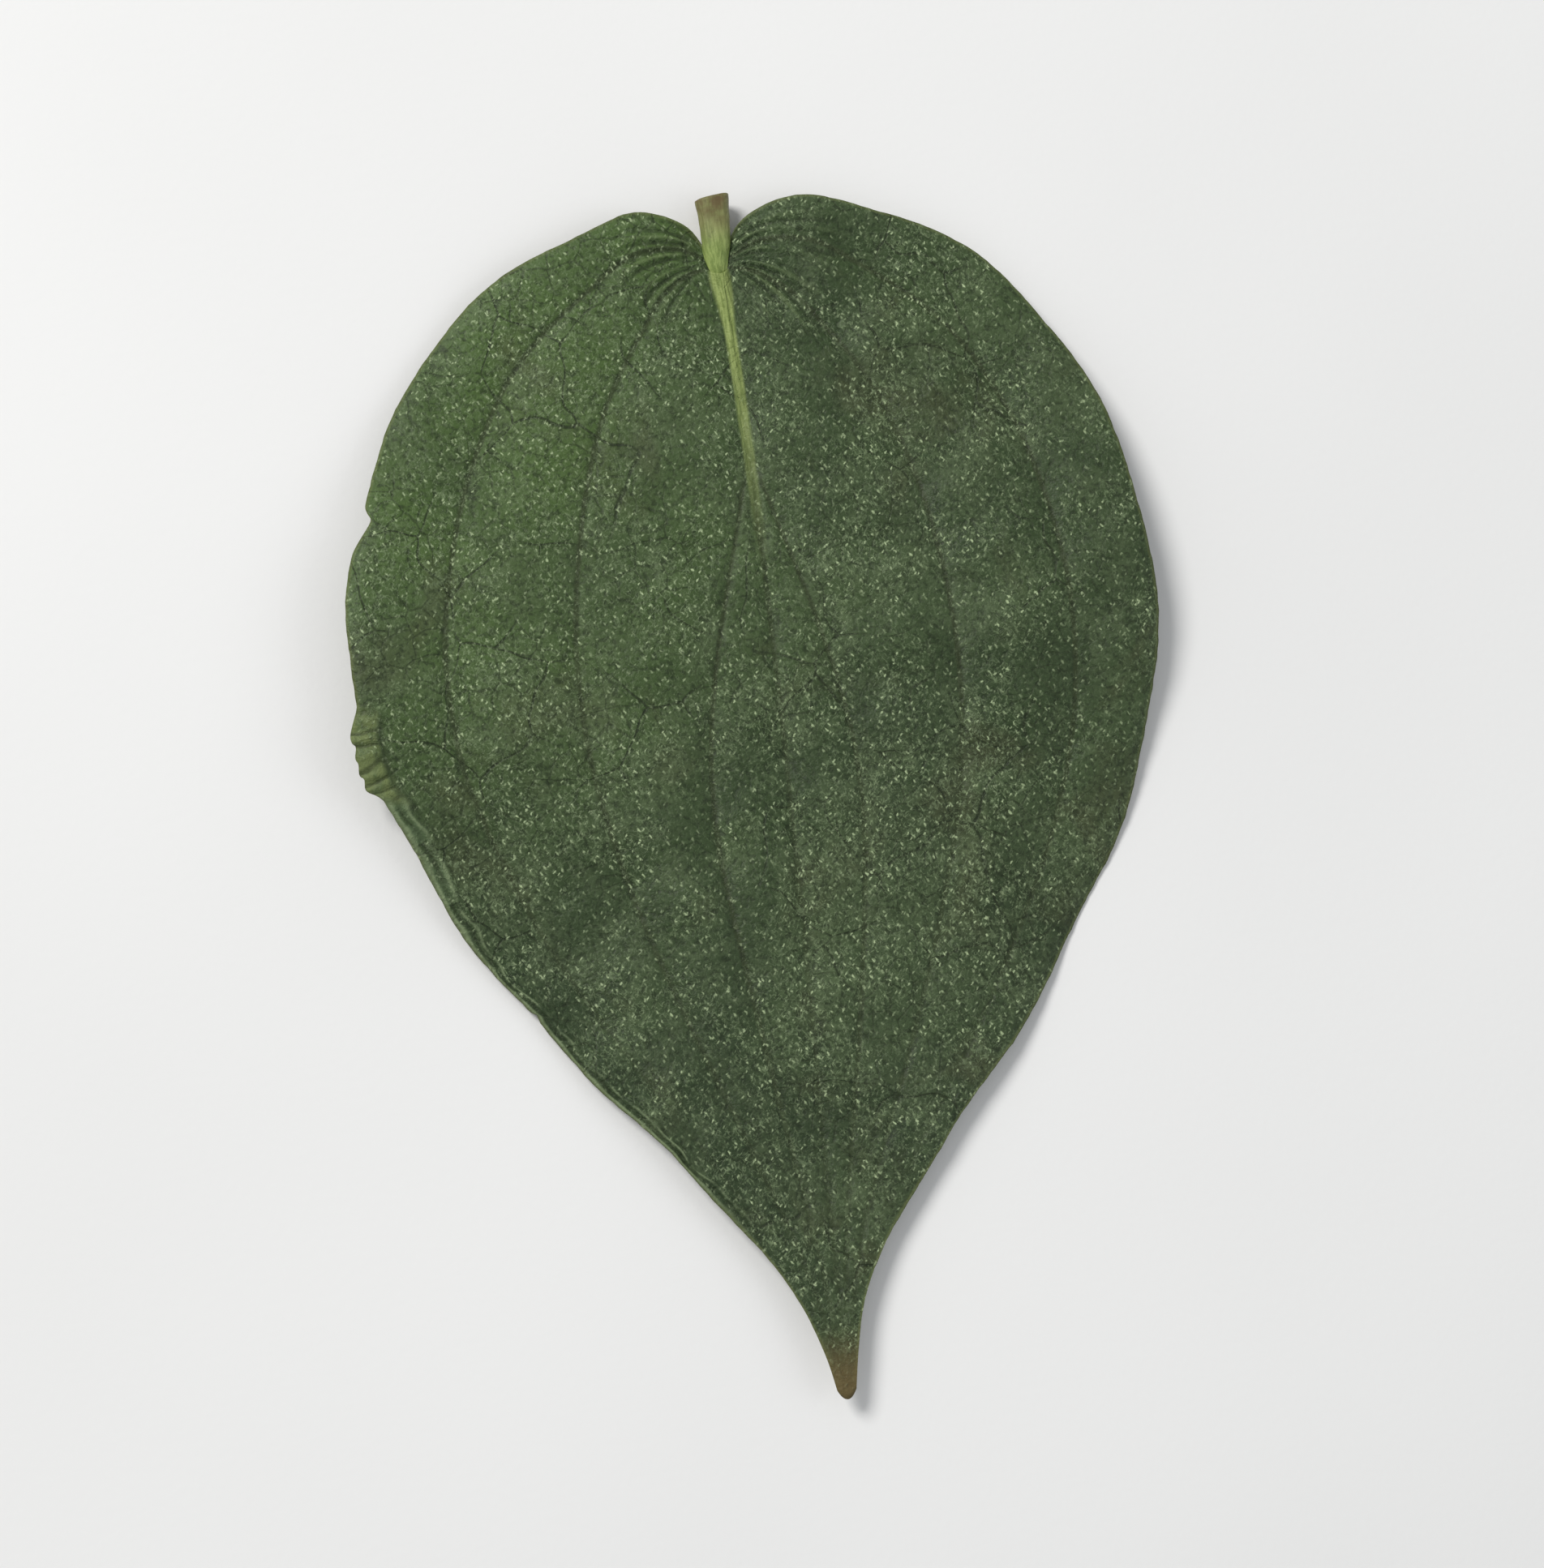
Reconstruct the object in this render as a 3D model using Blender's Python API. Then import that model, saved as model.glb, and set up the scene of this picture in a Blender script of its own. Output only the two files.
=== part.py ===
"""A dried betel leaf, pressed nearly flat, lying with its upper face up.

The leaf grew as one piece, so it is one solid: a heart-shaped blade with a short drip tip,
seven main veins that stand out as ribs on the underside, and the trimmed stub of the leaf
stalk, which runs on under the blade as the midrib. The stalk end points to +Y, the tip to -Y.
The origin is at the middle of the leaf's box, on the surface that the leaf lies on.
"""
import math

import bmesh
import bpy
import numpy as np

MM = 0.001

# Driving dimensions, in metres
BLADE_LENGTH = 66.0 * MM
BLADE_THICKNESS = 0.70 * MM
JUNCTION_RADIUS = 0.55 * MM
SINUS_ANGLE = math.radians(150)
MIDRIB_BOW = 0.7 * MM

# Rows are closer together near the junction: the power of u that the midrib's length follows
MIDRIB_PACE = 1.45

# From this u on the drip tip is rounded off
BLUNT_FROM = 0.93

# The margin of each half, from the sinus beside the stalk, over the lobe and down to the tip.
# Pairs of millimetres: out from the midrib, and along it from the junction towards the tip.
LEFT_MARGIN = [
    (1.5, -2.3), (4.2, -3.4), (9.1, -1.9), (15.3, 1.6), (19.3, 6.7), (22.2, 13.0), (23.8, 20.5),
    (23.3, 27.0), (20.8, 33.8), (17.4, 39.9), (12.4, 46.6), (7.9, 52.1), (3.9, 57.3),
    (1.9, 60.9), (0.85, 64.0), (0.55, 65.45),
]
RIGHT_MARGIN = [
    (1.5, -2.4), (4.8, -3.7), (10.1, -2.4), (15.9, 1.0), (19.8, 6.3), (22.3, 13.2), (23.3, 20.2),
    (22.7, 27.4), (20.4, 34.1), (16.9, 40.2), (12.1, 46.7), (7.3, 52.3), (3.4, 57.2),
    (1.6, 60.7), (0.8, 63.9), (0.55, 65.45),
]

# Small waves and one nick in the margin, seen from above. They fade out over the given
# stretches of u at both ends, and inwards from the margin with a high power of its nearness.
WAVE_DEPTH = 0.16 * MM
WAVES_LEFT = 8.3
WAVES_RIGHT = 7.1
WAVES_GROW_OVER = 0.10
WAVES_FADE_OVER = 0.15
MARGIN_DETAIL_POWER = 12
NICK_PLACE = 0.356
NICK_WIDTH = 0.010
NICK_DEPTH = 0.9 * MM

# Below the nick a short crumpled flap of the left margin stands out: between which u, the
# stretches over which it grows and ends, and how far out
FLAP_START = 0.470
FLAP_END = 0.532
FLAP_GROWS_OVER = 0.012
FLAP_ENDS_OVER = 0.020
FLAP_OUT = 0.85 * MM

# Veins: places across each half (0 at the midrib, 1 at the margin)
UPPER_VEIN = 0.25
INNER_VEIN = 0.52
OUTER_VEIN = 0.80
UPPER_VEIN_START = 0.28
UPPER_VEIN_REACH = 0.36
UPPER_VEIN_GROWS_OVER = 0.06
OUTER_VEIN_END = 0.92
OUTER_VEIN_FADES_OVER = 0.35
NARROWEST_FIELD = 0.07
MIDRIB_HEIGHT = 0.72 * MM
MIDRIB_HALF_WIDTH = 1.15 * MM
VEIN_HEIGHT = 0.42 * MM
VEIN_HALF_WIDTH = 0.80 * MM
GROOVE_SHARE = 0.25

# Share of its strength that a vein loses by the tip, and the power of u that the loss follows
MIDRIB_LOSS = 0.88
MIDRIB_LOSS_POWER = 0.9
VEIN_LOSS = 0.85
BASAL_LOSS_POWER = 1.3
UPPER_LOSS_POWER = 2.0

# A vein that has lost its strength still has this share of its width
WEAK_VEIN_WIDTH = 0.45

# The fields between the veins bulge, are quilted in slanting rows and wrinkle round the junction
FIELD_BULGE = 0.34 * MM
WIDE_FIELD = 7.0 * MM
QUILT_HEIGHT = 0.08 * MM
QUILT_ROWS = 15.0
QUILT_SLANT = 6.0
WRINKLE_HEIGHT = 0.10 * MM
WRINKLES = 4.5
WRINKLE_REACH = 9.0 * MM

# The blade as a whole: arched along, dished across, and both halves sway up and down
ARCH_HEIGHT = 0.55 * MM
DISH_HEIGHT = 0.35 * MM
DISH_POWER = 1.5
DISH_GROWS_OVER = 0.40
BROAD_HALF = 16.0 * MM
SWAY_LEFT = 1.5 * MM
SWAY_RIGHT = 1.4 * MM
SWAYS_LEFT = 1.95
SWAYS_RIGHT = 1.80
LEFT_DIP = 0.665
RIGHT_DIP = 0.640
SWAY_START = 0.08
SWAY_GROWS_OVER = 0.35

# The lobes beside the stalk and the drip tip lift, and the left margin curls up in its middle
LOBE_LIFT = 0.8 * MM
LOBE_REACH = 6.0 * MM
LOBE_POWER = 1.2
LOBE_END = 0.30
LOBE_FADES_OVER = 0.25
TIP_LIFT = 1.2 * MM
TIP_START = 0.80
TIP_POWER = 1.4
EDGE_CURL = 0.6 * MM
CURL_START = 0.40
CURL_GROWS_OVER = 0.10
CURL_END = 0.78
CURL_FADES_OVER = 0.12
CURL_WIDTH = 0.14

# The leaf stalk's stub: channelled on top, cut off askew, and thinner where it sinks into the blade
STALK_LENGTH = 4.2 * MM
STALK_SINK = 3.6 * MM
STALK_HALF_WIDTH = 0.98 * MM
STALK_HALF_HEIGHT = 0.88 * MM
STALK_RISE = 0.45 * MM
STALK_DIP = 0.45 * MM
STALK_TAPER = 0.45
STALK_CHANNEL = 0.12
STALK_CHANNEL_POWER = 3
STALK_SKEW = 0.18
STALK_SIDES = 14
STALK_RINGS = 9

# How it lies: the stalk end and each half have one low place, pressed flat over a small band
STALK_ZONE = 12.0 * MM
CONTACT_BAND = 0.20 * MM
LEVELLING_ROUNDS = 8

# Points closer than this after the join become one
WELD_DISTANCE = 0.004 * MM

# Working values: the step for reading slopes, what keeps a divisor above nothing, and how many
# steps the rows' spacing is summed over
SLOPE_STEP = 1e-4
TINY = 1e-9
SUM_STEPS = 2000

# Mesh density. Rows crowd a little at the nick and the flap, and the rows at the two narrow ends
# of the blade keep one column in so many.
ROWS = 54
FIELD_STEPS = (0.0, 0.10, 0.28, 0.50, 0.72, 0.90, 1.0)
NICK_CROWDING = 2.0
FLAP_CROWDING = 1.5
END_STRIDE = 6
NARROW_STRIDE = 3
NARROW_ROWS = 3

# Finish
LEAF_COLOUR = (0.065, 0.093, 0.040, 1.0)
LEAF_ROUGHNESS = 0.62
CREASE_ANGLE = math.radians(50)


def clear_scene():
    for item in list(bpy.data.objects):
        bpy.data.objects.remove(item, do_unlink=True)


def smooth_step(value):
    value = np.clip(value, 0.0, 1.0)
    return value * value * (3.0 - 2.0 * value)


def margin_points(pairs):
    """The margin's points in polar form about the junction: radius, and angle from the tip."""
    start = (JUNCTION_RADIUS, SINUS_ANGLE)
    rest = [(math.hypot(out, along) * MM, math.atan2(out, along)) for out, along in pairs]
    return np.array([start] + rest)


def read_curve(points, u):
    """Read a smooth curve through the points at fractions u of its length."""
    flat = points[:, :1] * np.column_stack((np.sin(points[:, 1]), np.cos(points[:, 1])))
    steps = np.hypot(*np.diff(flat, axis=0).T)
    knots = np.concatenate(([0.0], np.cumsum(steps))) / steps.sum()
    span = np.diff(knots)[:, None]
    slope = np.diff(flat, axis=0) / span
    tangent = np.empty_like(flat)
    tangent[0] = slope[0]
    tangent[-1] = slope[-1]
    tangent[1:-1] = (slope[:-1] * span[1:] + slope[1:] * span[:-1]) / (span[1:] + span[:-1])
    index = np.clip(np.searchsorted(knots, u, side="right") - 1, 0, len(span) - 1)
    f = ((u - knots[index]) / span[index, 0])[..., None]
    h = span[index]
    return (
        (1 + 2 * f) * (1 - f) ** 2 * flat[index]
        + f * (1 - f) ** 2 * h * tangent[index]
        + f * f * (3 - 2 * f) * flat[index + 1]
        + f * f * (f - 1) * h * tangent[index + 1]
    )


def margin_polar(pairs, u):
    """Radius and angle of one margin at fractions u."""
    out, along = np.moveaxis(read_curve(margin_points(pairs), u), -1, 0)
    return np.hypot(out, along), np.arctan2(out, along)


def margin_detail(u, left):
    """How far the small waves, the nick and the flap move the margin outwards."""
    waves = np.where(left, WAVES_LEFT, WAVES_RIGHT)
    fade = smooth_step(u / WAVES_GROW_OVER) * smooth_step((1.0 - u) / WAVES_FADE_OVER)
    nick = NICK_DEPTH * np.exp(-(((u - NICK_PLACE) / NICK_WIDTH) ** 2))
    flap = smooth_step((u - FLAP_START) / FLAP_GROWS_OVER) * smooth_step((FLAP_END - u) / FLAP_ENDS_OVER)
    wave = WAVE_DEPTH * fade * np.sin(2 * math.pi * waves * u)
    return wave + np.where(left, FLAP_OUT * flap - nick, 0.0)


def plan(u, t, detail=1.0):
    """Place in plan of (u, t): u runs from the stalk to the tip, t from left to right margin.

    The margin's waves, nick and flap come in by the given share.
    """
    left = t < 0
    a = np.abs(t)
    left_radius, left_angle = margin_polar(LEFT_MARGIN, u)
    right_radius, right_angle = margin_polar(RIGHT_MARGIN, u)
    edge_radius = np.where(left, left_radius, right_radius)
    edge_angle = np.where(left, left_angle, right_angle)
    midrib_radius = JUNCTION_RADIUS + (BLADE_LENGTH - JUNCTION_RADIUS) * u**MIDRIB_PACE
    blunt = smooth_step((u - BLUNT_FROM) / (1.0 - BLUNT_FROM))
    share = a * (1 - blunt) + a * a * blunt
    radius = midrib_radius + (edge_radius - midrib_radius) * share
    radius = radius + detail * margin_detail(u, left) * a**MARGIN_DETAIL_POWER
    bow = MIDRIB_BOW * np.sin(math.pi * u) * (1 - a)
    return radius * np.sin(edge_angle * t) + bow, -radius * np.cos(edge_angle * t)


def spacing(u, t):
    """Metres across the blade for a whole step of t, square to the lines of equal t.

    It leaves the margin's small detail out, so that the heights don't jump at the nick.
    """
    ax, ay = plan(np.clip(u - SLOPE_STEP, 0, 1), t, 0.0)
    bx, by = plan(np.clip(u + SLOPE_STEP, 0, 1), t, 0.0)
    t_low = np.clip(t - SLOPE_STEP, -1, 1)
    t_high = np.clip(t + SLOPE_STEP, -1, 1)
    cx, cy = plan(u, t_low, 0.0)
    dx, dy = plan(u, t_high, 0.0)
    run_x, run_y = bx - ax, by - ay
    cross = np.abs((dx - cx) * run_y - (dy - cy) * run_x)
    return cross / np.maximum(np.hypot(run_x, run_y), TINY) / (t_high - t_low)


def upper_vein_place(u):
    """The upper pair of side veins leaves the midrib a good way above the junction."""
    return UPPER_VEIN * np.sin(math.pi / 2 * np.clip((u - UPPER_VEIN_START) / UPPER_VEIN_REACH, 0, 1))


def vein_lines(u):
    """Each main vein: its place across the blade, height, half width and strength."""
    midrib_strength = 1.0 - MIDRIB_LOSS * u**MIDRIB_LOSS_POWER
    basal_strength = 1.0 - VEIN_LOSS * u**BASAL_LOSS_POWER
    outer_strength = basal_strength * smooth_step((OUTER_VEIN_END - u) / OUTER_VEIN_FADES_OVER)
    upper_strength = smooth_step((u - UPPER_VEIN_START) / UPPER_VEIN_GROWS_OVER)
    upper_strength = upper_strength * (1.0 - VEIN_LOSS * u**UPPER_LOSS_POWER)
    lines = [(0.0, MIDRIB_HEIGHT, MIDRIB_HALF_WIDTH, midrib_strength)]
    for side in (-1, 1):
        lines.append((side * upper_vein_place(u), VEIN_HEIGHT, VEIN_HALF_WIDTH, upper_strength))
        lines.append((side * INNER_VEIN, VEIN_HEIGHT, VEIN_HALF_WIDTH, basal_strength))
        lines.append((side * OUTER_VEIN, VEIN_HEIGHT, VEIN_HALF_WIDTH, outer_strength))
    return lines


def ribs(u, t):
    """How far the veins stand out under the blade."""
    across = spacing(u, t)
    depth = np.zeros_like(u)
    for place, height, half_width, strength in vein_lines(u):
        reach = half_width * (WEAK_VEIN_WIDTH + (1.0 - WEAK_VEIN_WIDTH) * strength)
        off = np.clip(np.abs(t - place) * across / reach, 0, 1)
        depth = np.maximum(depth, height * strength * (1 - off**2) ** 2)
    return depth


def field_crown(u, t):
    """0 on a main vein or the margin, up to 1 midway between two of them where it is wide."""
    a = np.abs(t)
    across = spacing(u, t)
    edges = (0.0 * u, upper_vein_place(u), INNER_VEIN + 0 * u, OUTER_VEIN + 0 * u, 1.0 + 0 * u)
    crown = np.zeros_like(a)
    for low, high in zip(edges[:-1], edges[1:]):
        width = np.maximum(high - low, TINY)
        rise = np.sin(math.pi * np.clip((a - low) / width, 0, 1))
        full = smooth_step(width * across / WIDE_FIELD)
        crown = np.where((a >= low) & (a <= high), rise * full, crown)
    return crown


def sheet(u, t):
    """Height of the blade's underside between its ribs."""
    x, y = plan(u, t)
    a = np.abs(t)
    left = t < 0
    from_junction = np.hypot(x, y)
    arch = ARCH_HEIGHT * np.sin(math.pi * np.clip(-y / BLADE_LENGTH, 0, 1))
    broad = smooth_step(spacing(u, t) / BROAD_HALF)
    dish = DISH_HEIGHT * a**DISH_POWER * smooth_step(u / DISH_GROWS_OVER) * broad
    sway_left = SWAY_LEFT * np.cos(2 * math.pi * SWAYS_LEFT * (u - LEFT_DIP))
    sway_right = SWAY_RIGHT * np.cos(2 * math.pi * SWAYS_RIGHT * (u - RIGHT_DIP))
    sway_growth = smooth_step((u - SWAY_START) / SWAY_GROWS_OVER)
    sway = -np.where(left, sway_left, sway_right) * a**2 * sway_growth * broad
    lobes = LOBE_LIFT * smooth_step((LOBE_END - u) / LOBE_FADES_OVER) * a**LOBE_POWER
    lobes = lobes * smooth_step(from_junction / LOBE_REACH)
    tip = TIP_LIFT * smooth_step((u - TIP_START) / (1.0 - TIP_START)) ** TIP_POWER
    curl = EDGE_CURL * smooth_step((u - CURL_START) / CURL_GROWS_OVER)
    curl = curl * smooth_step((CURL_END - u) / CURL_FADES_OVER)
    curl = np.where(left, curl * smooth_step((a - 1.0 + CURL_WIDTH) / CURL_WIDTH), 0.0)
    crown = field_crown(u, t) * smooth_step(from_junction / WRINKLE_REACH)
    quilt = FIELD_BULGE + QUILT_HEIGHT * np.cos(2 * math.pi * QUILT_ROWS * u + QUILT_SLANT * a)
    reach = from_junction / WRINKLE_REACH
    wrinkle = WRINKLE_HEIGHT * np.sin(math.pi * np.clip(reach, 0, 1)) ** 2
    wrinkle = wrinkle * np.cos(2 * math.pi * WRINKLES * a)
    return arch + dish + sway + lobes + tip + curl + crown * quilt + wrinkle


def blade_rows():
    """Fractions u of the rows of points, a little closer together at the nick and at the flap."""
    even = np.linspace(0.0, 1.0, SUM_STEPS + 1)
    density = 1.0 + NICK_CROWDING * np.exp(-(((even - NICK_PLACE) / (2 * NICK_WIDTH)) ** 2))
    flap_middle = (FLAP_START + FLAP_END) / 2
    density += FLAP_CROWDING * np.exp(-((2 * (even - flap_middle) / (FLAP_END - FLAP_START)) ** 2))
    length = np.concatenate(([0.0], np.cumsum(0.5 * (density[1:] + density[:-1]))))
    return np.interp(np.linspace(0.0, length[-1], ROWS + 1), length, even)


def blade_columns():
    """Fractions t of the columns: every vein has its own column and two close beside it."""
    half = [0.0]
    edges = (0.0, UPPER_VEIN, INNER_VEIN, OUTER_VEIN, 1.0)
    for low, high in zip(edges[:-1], edges[1:]):
        half += [low + (high - low) * step for step in FIELD_STEPS[1:]]
    return np.array([-value for value in half[:0:-1]] + half)


def gather_columns(u, t):
    """Let the column beside the midrib follow the upper vein as it leaves the midrib."""
    a = np.abs(t)
    place = np.maximum(upper_vein_place(u), NARROWEST_FIELD)
    inner = a * place / UPPER_VEIN
    outer = place + (a - UPPER_VEIN) * (INNER_VEIN - place) / (INNER_VEIN - UPPER_VEIN)
    moved = np.where(a <= UPPER_VEIN, inner, np.where(a <= INNER_VEIN, outer, a))
    return np.sign(t) * moved


def row_stride(index, rows):
    """Rows near the two narrow ends keep only some of the columns."""
    near = min(index, rows - index)
    if near == 0:
        return END_STRIDE
    if near <= NARROW_ROWS:
        return NARROW_STRIDE
    return 1


def zip_rows(lower, upper, t):
    """Triangles between two rows of point numbers, each a dictionary of column to number."""
    a = sorted(lower)
    b = sorted(upper)
    i = j = 0
    faces = []
    while i < len(a) - 1 or j < len(b) - 1:
        step_a = t[a[i + 1]] if i < len(a) - 1 else math.inf
        step_b = t[b[j + 1]] if j < len(b) - 1 else math.inf
        if step_a <= step_b:
            faces.append((lower[a[i]], lower[a[i + 1]], upper[b[j]]))
            i += 1
        else:
            faces.append((lower[a[i]], upper[b[j + 1]], upper[b[j]]))
            j += 1
    return faces


def blade_mesh():
    """The blade as two faces of like triangles, joined by a wall along the margin."""
    u_rows = blade_rows()
    t_columns = blade_columns()
    rows = []
    count = 0
    for index in range(len(u_rows)):
        kept = range(0, len(t_columns), row_stride(index, len(u_rows) - 1))
        rows.append({column: count + place for place, column in enumerate(kept)})
        count += len(rows[-1])
    u = np.concatenate([np.full(len(row), u_rows[index]) for index, row in enumerate(rows)])
    t = gather_columns(u, np.concatenate([t_columns[sorted(row)] for row in rows]))
    x, y = plan(u, t)
    depth = ribs(u, t)
    under = sheet(u, t) - depth
    over = sheet(u, t) + BLADE_THICKNESS - GROOVE_SHARE * np.minimum(depth, VEIN_HEIGHT)
    points = [tuple(p) for p in np.column_stack((x, y, under))]
    points += [tuple(p) for p in np.column_stack((x, y, over))]
    faces = []
    for lower, upper in zip(rows[:-1], rows[1:]):
        faces += zip_rows(lower, upper, t_columns)
    solid = [tuple(face) for face in faces]
    solid += [tuple(count + corner for corner in reversed(face)) for face in faces]
    first, last = rows[0], rows[-1]
    rim = [first[column] for column in sorted(first)]
    rim += [row[max(row)] for row in rows[1:]]
    rim += [last[column] for column in sorted(last, reverse=True)][1:]
    rim += [row[0] for row in reversed(rows[1:-1])]
    for here, there in zip(rim, rim[1:] + rim[:1]):
        solid.append((there, here, count + here))
        solid.append((there, count + here, count + there))
    return points, solid


def stalk_mesh():
    """The stalk's stub: an oval rod that tapers and sinks into the base of the midrib."""
    points = []
    for ring in range(STALK_RINGS):
        share = ring / (STALK_RINGS - 1)
        y = STALK_LENGTH - (STALK_LENGTH + STALK_SINK) * share
        taper = 1.0 - STALK_TAPER * smooth_step(share)
        centre = STALK_RISE - STALK_DIP * share
        for side in range(STALK_SIDES):
            angle = 2 * math.pi * side / STALK_SIDES
            top = max(0.0, math.sin(angle))
            channel = 1.0 - STALK_CHANNEL * top**STALK_CHANNEL_POWER
            points.append((
                STALK_HALF_WIDTH * taper * math.cos(angle),
                y + STALK_SKEW * STALK_HALF_WIDTH * math.cos(angle) * (1 - share),
                centre + STALK_HALF_HEIGHT * taper * math.sin(angle) * channel,
            ))
    faces = []
    for ring in range(STALK_RINGS - 1):
        for side in range(STALK_SIDES):
            here = ring * STALK_SIDES + side
            beside = ring * STALK_SIDES + (side + 1) % STALK_SIDES
            faces.append((here, beside, beside + STALK_SIDES))
            faces.append((here, beside + STALK_SIDES, here + STALK_SIDES))
    faces.append(tuple(reversed(range(STALK_SIDES))))
    faces.append(tuple(range((STALK_RINGS - 1) * STALK_SIDES, STALK_RINGS * STALK_SIDES)))
    return points, faces


def mesh_object(name, points, faces):
    mesh = bpy.data.meshes.new(name)
    mesh.from_pydata(points, [], faces)
    mesh.validate()
    bm = bmesh.new()
    bm.from_mesh(mesh)
    bmesh.ops.recalc_face_normals(bm, faces=bm.faces)
    bm.to_mesh(mesh)
    bm.free()
    item = bpy.data.objects.new(name, mesh)
    bpy.context.scene.collection.objects.link(item)
    return item


def resting_plane(points):
    """The level under the lowest place of the stalk end and of each half of the blade."""
    x, y, z = points.T
    stalk_end = y > -STALK_ZONE
    zones = (stalk_end, ~stalk_end & (x < 0), ~stalk_end & (x >= 0))
    plane = np.zeros(3)
    flat = np.column_stack((x, y, np.ones_like(x)))
    for _ in range(LEVELLING_ROUNDS):
        gap = z - flat @ plane
        feet = [np.flatnonzero(zone)[np.argmin(gap[zone])] for zone in zones]
        plane = np.linalg.solve(flat[feet], z[feet])
    return flat @ plane


def lay_down(items):
    """Tilt the meshes together onto their three low places, and press those places flat."""
    vertices = [vertex for item in items for vertex in item.data.vertices]
    points = np.array([vertex.co for vertex in vertices])
    heights = points[:, 2] - resting_plane(points)
    heights = np.maximum(heights - heights.min() - CONTACT_BAND, 0.0)
    for vertex, height in zip(vertices, heights):
        vertex.co.z = height


def join(keep, other):
    """Join the second solid to the first, and remove the second."""
    union = keep.modifiers.new("union", "BOOLEAN")
    union.operation = "UNION"
    union.solver = "EXACT"
    union.object = other
    depsgraph = bpy.context.evaluated_depsgraph_get()
    joined = bpy.data.meshes.new_from_object(keep.evaluated_get(depsgraph))
    keep.modifiers.clear()
    keep.data = joined
    bpy.data.objects.remove(other, do_unlink=True)
    bm = bmesh.new()
    bm.from_mesh(joined)
    bmesh.ops.remove_doubles(bm, verts=bm.verts, dist=WELD_DISTANCE)
    bmesh.ops.triangulate(bm, faces=bm.faces)
    bm.to_mesh(joined)
    bm.free()


def centre_origin(item):
    """Move the mesh so that the origin is at the middle of its box, on the surface under it."""
    xs = [vertex.co.x for vertex in item.data.vertices]
    ys = [vertex.co.y for vertex in item.data.vertices]
    for vertex in item.data.vertices:
        vertex.co.x -= (min(xs) + max(xs)) / 2
        vertex.co.y -= (min(ys) + max(ys)) / 2
    item.data.update()


def dried_leaf_material():
    material = bpy.data.materials.new("dried_leaf")
    material.use_nodes = True
    shader = material.node_tree.nodes["Principled BSDF"]
    shader.inputs["Base Color"].default_value = LEAF_COLOUR
    shader.inputs["Roughness"].default_value = LEAF_ROUGHNESS
    shader.inputs["Metallic"].default_value = 0.0
    return material


def main():
    clear_scene()
    leaf = mesh_object("betel_leaf", *blade_mesh())
    stalk = mesh_object("stalk", *stalk_mesh())
    lay_down([leaf, stalk])
    join(leaf, stalk)
    centre_origin(leaf)
    leaf.data.materials.clear()
    leaf.data.materials.append(dried_leaf_material())
    leaf.data.shade_smooth()
    leaf.data.set_sharp_from_angle(angle=CREASE_ANGLE)


main()
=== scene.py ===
"""Looks of the dried betel leaf: a thin finely modelled blade and its stalk stub round the CAD leaf."""
import math

import bpy
import numpy as np
from mathutils import Matrix, Vector
from mathutils.bvhtree import BVHTree


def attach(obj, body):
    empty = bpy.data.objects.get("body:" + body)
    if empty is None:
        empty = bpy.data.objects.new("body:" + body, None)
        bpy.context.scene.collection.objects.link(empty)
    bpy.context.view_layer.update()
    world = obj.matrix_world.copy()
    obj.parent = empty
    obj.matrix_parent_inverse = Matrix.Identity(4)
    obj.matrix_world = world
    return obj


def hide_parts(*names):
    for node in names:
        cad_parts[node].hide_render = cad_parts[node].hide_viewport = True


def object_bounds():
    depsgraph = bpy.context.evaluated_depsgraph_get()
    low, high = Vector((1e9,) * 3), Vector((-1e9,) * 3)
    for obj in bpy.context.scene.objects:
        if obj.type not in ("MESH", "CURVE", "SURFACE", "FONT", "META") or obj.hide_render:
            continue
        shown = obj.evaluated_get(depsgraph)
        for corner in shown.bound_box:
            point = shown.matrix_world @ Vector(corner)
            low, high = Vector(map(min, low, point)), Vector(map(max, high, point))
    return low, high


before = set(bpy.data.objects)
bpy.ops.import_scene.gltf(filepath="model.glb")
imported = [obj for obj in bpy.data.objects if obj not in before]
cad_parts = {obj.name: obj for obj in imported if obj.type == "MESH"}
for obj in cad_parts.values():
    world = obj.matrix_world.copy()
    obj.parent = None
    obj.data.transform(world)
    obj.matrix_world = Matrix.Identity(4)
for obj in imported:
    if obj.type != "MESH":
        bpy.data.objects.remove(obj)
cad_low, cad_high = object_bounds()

MM = 0.001
TURN = 2 * math.pi
CAD_NODE = "betel_leaf"

# The leaf's own shape, with the same driving values as the CAD leaf. Margins are pairs of
# millimetres: out from the midrib, and along it from the junction towards the tip. A span has
# its start, how far it takes to rise from there, its end, and how far it takes to fall before it.
BLADE_LENGTH = 66.0 * MM
JUNCTION_RADIUS = 0.55 * MM
SINUS_ANGLE = math.radians(150)
MIDRIB_BOW = 0.7 * MM
MIDRIB_PACE = 1.45
BLUNT_FROM = 0.93
LEFT_MARGIN = [
    (1.5, -2.3), (4.2, -3.4), (9.1, -1.9), (15.3, 1.6), (19.3, 6.7), (22.2, 13.0), (23.8, 20.5),
    (23.3, 27.0), (20.8, 33.8), (17.4, 39.9), (12.4, 46.6), (7.9, 52.1), (3.9, 57.3),
    (1.9, 60.9), (0.85, 64.0), (0.55, 65.45),
]
RIGHT_MARGIN = [
    (1.5, -2.4), (4.8, -3.7), (10.1, -2.4), (15.9, 1.0), (19.8, 6.3), (22.3, 13.2), (23.3, 20.2),
    (22.7, 27.4), (20.4, 34.1), (16.9, 40.2), (12.1, 46.7), (7.3, 52.3), (3.4, 57.2),
    (1.6, 60.7), (0.8, 63.9), (0.55, 65.45),
]
WAVE_DEPTH = 0.16 * MM
WAVES_LEFT = 8.3
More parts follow.
